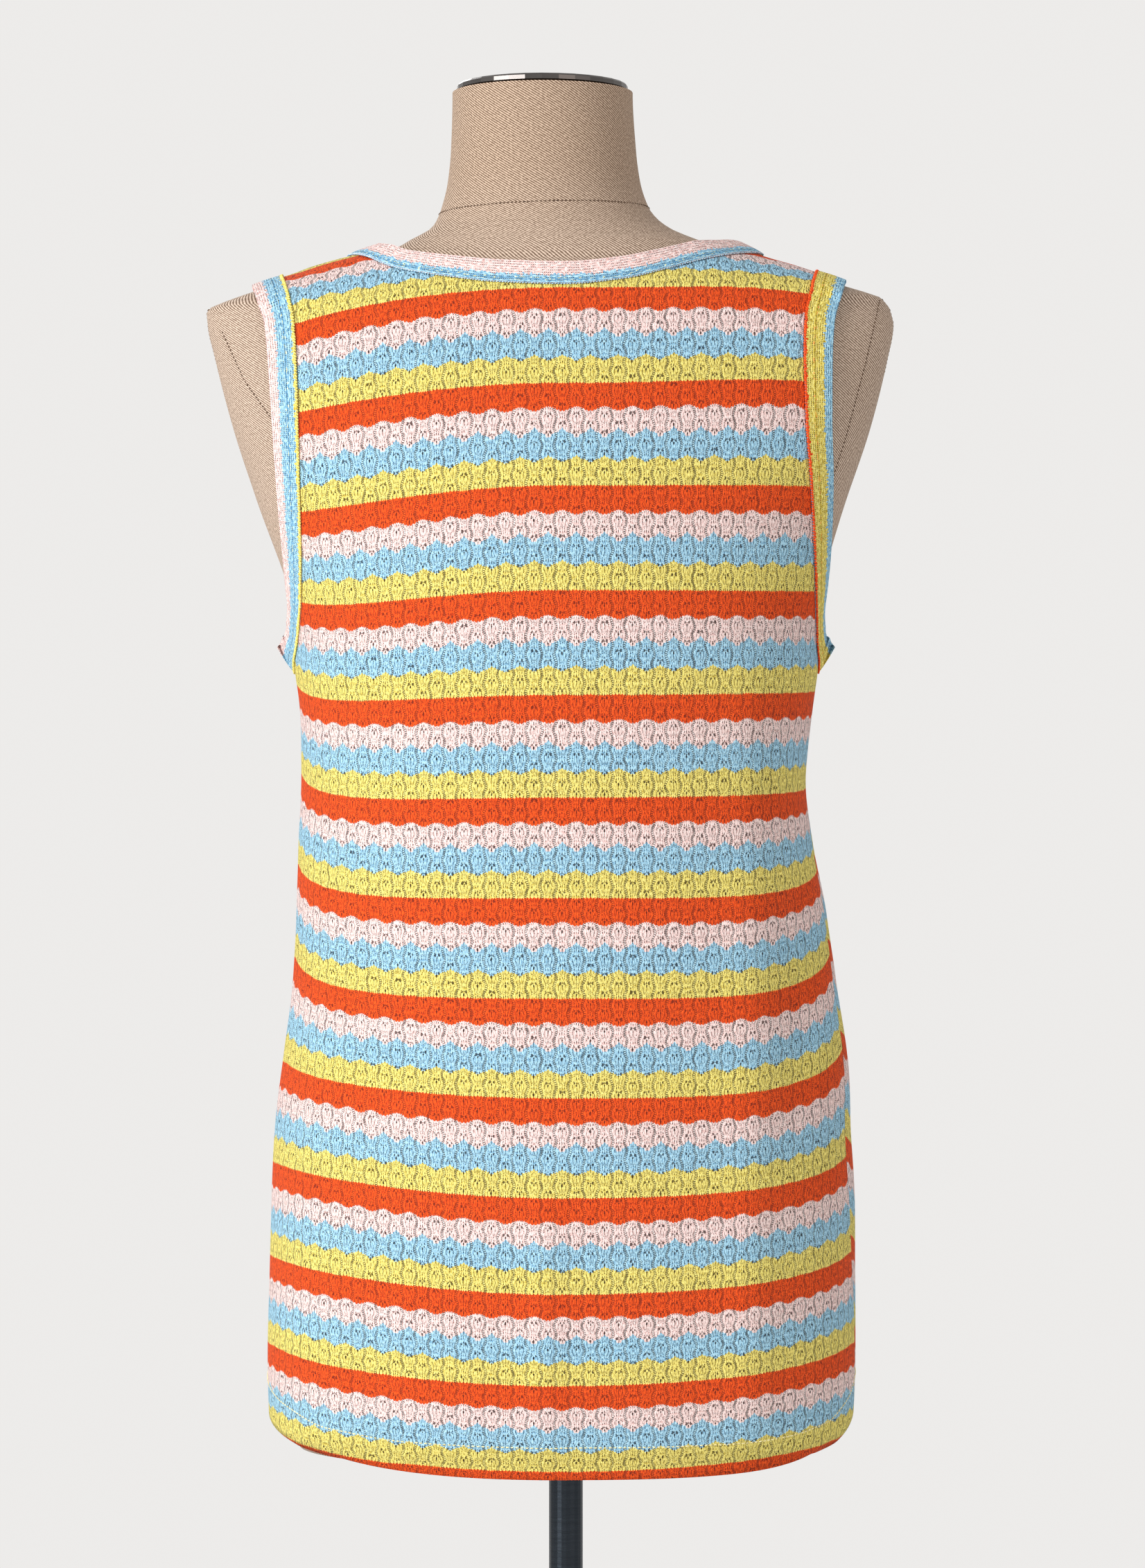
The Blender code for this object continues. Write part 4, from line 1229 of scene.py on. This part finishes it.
# Front panel. The same knit, cut with a deep scooped neck and hollower armholes, and
# sewn to the back. Its stripes stand most of a stripe higher along the right side seam.
HEM_FRONT = 0.3040
FRONT_CROWDING = 1.6
FRONT_ARMHOLE = [
    Edge(0.7500, -0.1425, 0.1330),
    Edge(0.7733, -0.1360, 0.1270),
    Edge(0.7971, -0.1325, 0.1235),
    Edge(0.8374, -0.1310, 0.1205),
    Edge(0.8695, -0.1325, 0.1205),
    Edge(0.9049, -0.1380, 0.1235),
    Edge(0.9261, -0.1435, 0.1275),
    Edge(0.9440, -0.1520, 0.1335),
    Edge(0.9515, -0.1560, 0.1366),
    Edge(0.9540, -0.1560, 0.1380),
]
FRONT_NECK = [
    Neck(-0.1080, 0.9350),
    Neck(-0.0860, 0.9060),
    Neck(-0.0560, 0.8840),
    Neck(-0.0060, 0.8740),
    Neck(0.0440, 0.8840),
    Neck(0.0740, 0.9060),
    Neck(0.0960, 0.9350),
]
FRONT_FOLDS = [
    Fold(0.0700, 0.295, 0.640, 0.017, 0.0036),
    Fold(-0.0500, 0.290, 0.560, 0.015, 0.0032),
    Fold(-0.1150, 0.295, 0.700, 0.016, 0.0028),
]
FRONT_STEP = 0.75 * STRIPES / 4
FRONT_DIP = 0.006


def front_courses(points):
    """Stripes that meet the back's at the left seam and stand higher at the right."""
    lower = PANEL_LOWER_ROWS + 1
    heights = points[:lower, 0, 2]
    left = np.interp(heights, back_inner[:lower, 0, 2], back_along[:lower, 0])
    right_heights = points[:lower, -1, 2]
    right = np.interp(right_heights, back_inner[:lower, -1, 2], back_along[:lower, -1])
    right = right - FRONT_STEP
    t = np.linspace(0, 1, points.shape[1])[None, :]
    ease = t * t * (3 - 2 * t)
    along = left[:, None] * (1 - ease) + right[:, None] * ease
    along += FRONT_DIP * (1 - (2 * t - 1) ** 2)
    steps = np.linalg.norm(np.diff(points[lower - 1 :], axis=0), axis=-1)
    above = along[-1] + np.cumsum(steps, axis=0)
    return np.concatenate([along, above])


front_inner = panel_points(
    1, HEM_FRONT, FRONT_FOLDS, FRONT_ARMHOLE, FRONT_NECK, FRONT_CROWDING
)
front_across = cloth_across(front_inner)
front_along = front_courses(front_inner)
front_way = outward(front_inner)
front_mesh = shell_mesh(
    "front_knit",
    front_inner + front_way * WALL_IN,
    front_inner + front_way * WALL_OUT,
    np.stack([front_across, front_along], axis=-1),
    knit_material("front_knit"),
)
front_mesh.flip_normals()
front_knit = new_object("front_knit", front_mesh)
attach(front_knit, "root")
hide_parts("front_panel")


# Hem stitching. The garment's lower edge is turned up inside; the turning is not built here,
# only the one row of pale yellow stitches that holds it, parallel to the fold all round.
HEM_TURN = 0.0200
HEM_ROWS = 10
HEM_STITCH_LIFT = 0.0001


def hem_line(inner, way):
    """The line on the cloth's face that runs a turning's depth above the fold."""
    low = inner[:HEM_ROWS]
    steps = np.linalg.norm(np.diff(low, axis=0), axis=-1)
    length = np.concatenate([np.zeros((1, low.shape[1])), np.cumsum(steps, axis=0)])
    face = low + way[:HEM_ROWS] * (WALL_OUT + HEM_STITCH_LIFT)
    points = np.array(
        [
            [np.interp(HEM_TURN, length[:, c], face[:, c, axis]) for axis in range(3)]
            for c in range(low.shape[1])
        ]
    )
    return Line(points, outward(points), False)


stitch_row(
    "hem_stitches",
    [hem_line(back_inner, back_way), hem_line(front_inner, front_way)],
    "knit_back",
    Spacing=0.0026, Length=0.0021, Thickness=0.0008, Slant=0.0,
    Thread=thread_material("hem_thread", (0.93, 0.86, 0.52), (0.62, 0.52, 0.22)),
)


# Bands. The same yarns knitted plain, in strips turned sideways and folded in two, sewn
# round the neck and each armhole. The neck shows a pink outer edge and blue at its
# seam. A chain of overlock stitches runs along each seam.
FACE_ROWS, FOLD_ROWS, UNDER_ROWS = 14, 5, 7
FOLD_AT = 0.93
BAND_CROWN = 0.12


def seam_line(back_edge, front_edge, count):
    """One closed seam through two edges' points, resampled to even steps."""
    line = np.concatenate([back_edge[:-1], front_edge[:-1]])
    closed = np.concatenate([line, line[:1]])
    length = np.concatenate([[0], np.cumsum(np.linalg.norm(np.diff(closed, axis=0), axis=1))])
    at = np.linspace(0, length[-1], count, endpoint=False)
    points = np.stack([np.interp(at, length, closed[:, i]) for i in range(3)], axis=-1)
    return points, at


def band_grid(points, target, width, wall, leans):
    """Rounded band section at each seam point: out along its face and back beneath."""
    along = np.roll(points, -1, axis=0) - np.roll(points, 1, axis=0)
    along /= np.linalg.norm(along, axis=1, keepdims=True)
    normal = outward(points)
    side = np.cross(along, normal)
    side /= np.linalg.norm(side, axis=1, keepdims=True)
    side *= np.sign((side * (target - points)).sum(axis=1, keepdims=True))
    leaning = side + normal * leans[:, None]
    leaning /= np.linalg.norm(leaning, axis=1, keepdims=True)
    thick = normal - leaning * (normal * leaning).sum(axis=1, keepdims=True)
    thick /= np.linalg.norm(thick, axis=1, keepdims=True)
    start = points + side * SEAM_GAP
    section = [(FOLD_AT * s, 1.0) for s in np.linspace(0, 1, FACE_ROWS)]
    for turn in np.linspace(0, math.pi, FOLD_ROWS + 2)[1:-1]:
        section.append((FOLD_AT + (1 - FOLD_AT) * math.sin(turn), 0.5 + 0.5 * math.cos(turn)))
    section += [(FOLD_AT * (1 - s), 0.0) for s in np.linspace(0, 1, UNDER_ROWS)]
    rows = []
    for out, up in section:
        swell = 1.0 + BAND_CROWN * math.sin(math.pi * out) if up > 0.9 else up
        rows.append(start + leaning * width * out + thick * wall * swell)
    return np.stack(rows, axis=1)


def band_mesh(name, grid, at, width, finish):
    """A closed ring of the band's section, its UV along the seam and over the fold."""
    count, around = grid.shape[:2]
    faces = []
    for s in range(count):
        following = (s + 1) % count
        for p in range(around):
            beside = (p + 1) % around
            corners = ((s, p), (following, p), (following, beside), (s, beside))
            faces.append([i * around + j for i, j in corners])
    mesh = bpy.data.meshes.new(name)
    mesh.from_pydata(grid.reshape(-1, 3).tolist(), [], faces)
    layer = mesh.uv_layers.new(name="knit")
    length = np.append(at, at[1] * count)
    across = np.linspace(0, 1, FACE_ROWS).tolist() + [1.05] * FOLD_ROWS
    across += np.linspace(1.1, 2.1, UNDER_ROWS).tolist() + [2.2]
    place = []
    for s in range(count):
        for p in range(around):
            for i, j in ((s, p), (s + 1, p), (s + 1, p + 1), (s, p + 1)):
                place += [length[i], across[j] * width]
    layer.data.foreach_set("uv", np.array(place, np.float32))
    mesh.materials.append(finish)
    mesh.shade_smooth()
    return mesh


BAND_WALE = 0.0015
BAND_COURSE = 0.00105
GROOVE_HALF, FLECK_HALF = 0.0009, 0.0010
TOOTH_PITCH, TOOTH_DEPTH = 0.0021, 0.0022
EDGE_RAGGED = 0.0060
BAND_FUZZ, BAND_FUZZ_LEVEL = 2.3, -1.16
BAND_PORE_WALE, BAND_PORE_RING, BAND_PORE_CHANCE, FLECK_CHANCE = 0.46, 0.55, 0.48, 0.66


def band_group():
    """Plain knit whose wales run along the band: V stitches with painted light and shade, pores, and a
    grooved row darkened with painted shade.
    """
    group, (knit, width, groove_at, *_) = new_group(
        "band_knit",
        {"Knit": "Vector", "Width": "Float", "Groove": "Float"},
        dict.fromkeys(("Share", "Yarn", "Pore", "Fleck", "Height"), "Float"),
    )
    out = group.nodes.new("NodeGroupOutput")
    value = math_chain(group)
    parts = add_node(group, "ShaderNodeSeparateXYZ", inputs={0: knit})
    along, across = parts.outputs[0], parts.outputs[1]
    ragged = noise(group, knit, scale=330.0, detail=2.0)
    long = add_node(
        group, "ShaderNodeCombineXYZ", inputs={0: value("MULTIPLY", along, 0.45), 1: across}
    )
    grain = noise(group, long.outputs[0], scale=1200.0, detail=0.0)
    jag = value("MULTIPLY_ADD", ragged, EDGE_RAGGED, -EDGE_RAGGED / 2)
    tooth = value("PINGPONG", value("DIVIDE", along, TOOTH_PITCH), 0.5)
    moved = value("ADD", value("ADD", across, jag), value("MULTIPLY", tooth, TOOTH_DEPTH))
    group.links.new(value("DIVIDE", moved, width), out.inputs["Share"])
    wale = zigzag(value, value("DIVIDE", across, BAND_WALE))
    stitch = value("MULTIPLY_ADD", wale, STITCH_SLANT, value("DIVIDE", along, BAND_COURSE))
    ring = zigzag(value, stitch)
    fuzz = value("MULTIPLY_ADD", grain, BAND_FUZZ, BAND_FUZZ_LEVEL)
    yarn = value("ADD", stitch_legs(value, wale, ring, slope=0.5, least=0.62), fuzz)
    from_groove = value("ABSOLUTE", value("SUBTRACT", across, groove_at))
    dip = value("SUBTRACT", 1.0, value("DIVIDE", from_groove, GROOVE_HALF), clamp=True)
    # The groove's dip darkens the yarn as painted shade in it, besides sinking it in the height.
    group.links.new(value("MULTIPLY_ADD", dip, -0.5, yarn), out.inputs["Yarn"])
    beneath = value("LESS_THAN", ring, BAND_PORE_RING)
    low = value("MULTIPLY", value("LESS_THAN", wale, BAND_PORE_WALE), beneath)
    picked = value("GREATER_THAN", ragged, BAND_PORE_CHANCE)
    group.links.new(value("MULTIPLY", low, picked), out.inputs["Pore"])
    near = value("LESS_THAN", from_groove, FLECK_HALF)
    rare = value("GREATER_THAN", grain, FLECK_CHANCE)
    group.links.new(value("MULTIPLY", near, rare), out.inputs["Fleck"])
    group.links.new(value("MULTIPLY_ADD", dip, -1.6, yarn), out.inputs["Height"])
    return group


BAND_KNIT = band_group()


def band_material(name, width, stops, groove, fleck):
    """Band knit in a few colours across, painted lit and shaded across each stitch, with painted shade
    in its pores and flecks of the chain's thread in its groove.
    """
    made, tree, shader = new_material(name, 0.88)
    shader.inputs["Specular IOR Level"].default_value = 0.18
    place = add_node(tree, "ShaderNodeUVMap", uv_map="knit").outputs[0]
    knit = add_node(
        tree,
        "ShaderNodeGroup",
        node_tree=BAND_KNIT,
        inputs={"Knit": place, "Width": width, "Groove": groove},
    )
    light, dark, deep = stripe_tones(tree, knit.outputs["Share"], stops)
    value = math_chain(tree)
    light = mix_colours(tree, value("MULTIPLY", knit.outputs["Fleck"], 0.8), light, (*fleck, 1))
    yarn = mix_colours(tree, value("ADD", knit.outputs["Yarn"], 0.0, clamp=True), dark, light)
    pores = mix_colours(tree, value("MULTIPLY", knit.outputs["Pore"], 0.85), yarn, deep)
    tree.links.new(pores, shader.inputs["Base Color"])
    add_relief(tree, shader, knit.outputs["Height"], strength=0.6, distance=0.0005)
    return made


NECKBAND_WIDTH = 0.0125
NECKBAND_GROOVE = 0.0022
NECKBAND_LEAN = 0.16
NECKBAND_POINTS = 420
NECKBAND_STOPS = [(0.0, BLUE), (0.44, PINK)]
NECK_MIDDLE = (-0.013, 0.0, 1.03)
NECK_CHAIN_SINK = 0.0005
BAND_WALL = 0.0026
corner = round(PANEL_COLUMNS * (1 - NECK_SHARE) / 2)
neck_points, neck_at = seam_line(
    back_inner[-1, corner : PANEL_COLUMNS + 1 - corner],
    front_inner[-1, corner : PANEL_COLUMNS + 1 - corner][::-1],
    NECKBAND_POINTS,
)
neck_leans = np.full(NECKBAND_POINTS, NECKBAND_LEAN)
neck_grid = band_grid(
    neck_points, np.array(NECK_MIDDLE), NECKBAND_WIDTH, BAND_WALL, neck_leans
)
neck_finish = band_material(
    "neckband_knit", NECKBAND_WIDTH, NECKBAND_STOPS, NECKBAND_GROOVE, YELLOW_LIT
)
neckband = new_object(
    "neckband_knit", band_mesh("neckband_knit", neck_grid, neck_at, NECKBAND_WIDTH, neck_finish)
)
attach(neckband, "root")
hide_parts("neckband")
neck_way = outward(neck_points)
stitch_row(
    "neckband_chain",
    [Line(neck_grid[:, 0] - neck_way * NECK_CHAIN_SINK, neck_way, True)],
    "knit_neckband",
    Spacing=0.0016, Length=0.0019, Thickness=0.0007, Slant=0.5,
    Thread=thread_material("chain_blue", BLUE_LIT, BLUE_SHADED),
)

ARMBAND_WIDTH = 0.0172
ARMBAND_GROOVE = 0.0060
ARMBAND_LEAN = -0.03
ARMBAND_POINTS = 460
ARM_CHAIN_SINK = 0.0003
UNDERARM_FLARE = 0.50
FLARE_HEIGHT = 0.030
for side, word, stops, chain in (
    (-1, "left", [(0.0, YELLOW), (0.09, BLUE), (0.70, PINK)], YELLOW),
    (1, "right", [(0.0, RED), (0.06, YELLOW), (0.74, BLUE)], RED),
):
    column = 0 if side < 0 else PANEL_COLUMNS
    arm_points, arm_at = seam_line(
        back_inner[PANEL_LOWER_ROWS:, column],
        front_inner[PANEL_LOWER_ROWS:, column][::-1],
        ARMBAND_POINTS,
    )
    near = np.clip(1 - (arm_points[:, 2] - UNDERARM) / FLARE_HEIGHT, 0, None)
    arm_leans = ARMBAND_LEAN + (UNDERARM_FLARE - ARMBAND_LEAN) * near * near
    arm_middle = np.array([side * 0.30, -0.005, 0.86])
    arm_grid = band_grid(arm_points, arm_middle, ARMBAND_WIDTH, BAND_WALL, arm_leans)
    name = "armhole_knit_" + word
    finish = band_material(name, ARMBAND_WIDTH, stops, ARMBAND_GROOVE, chain[0])
    armband = new_object(name, band_mesh(name, arm_grid, arm_at, ARMBAND_WIDTH, finish))
    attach(armband, "root")
    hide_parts("armhole_band_" + word)
    arm_way = outward(arm_points)
    stitch_row(
        "armhole_chain_" + word,
        [Line(arm_grid[:, 0] - arm_way * ARM_CHAIN_SINK, arm_way, True)],
        "knit_band_" + word,
        Spacing=0.0016, Length=0.0028, Thickness=0.0014, Slant=0.80,
        Thread=thread_material("chain_" + word, chain[0], chain[1]),
    )
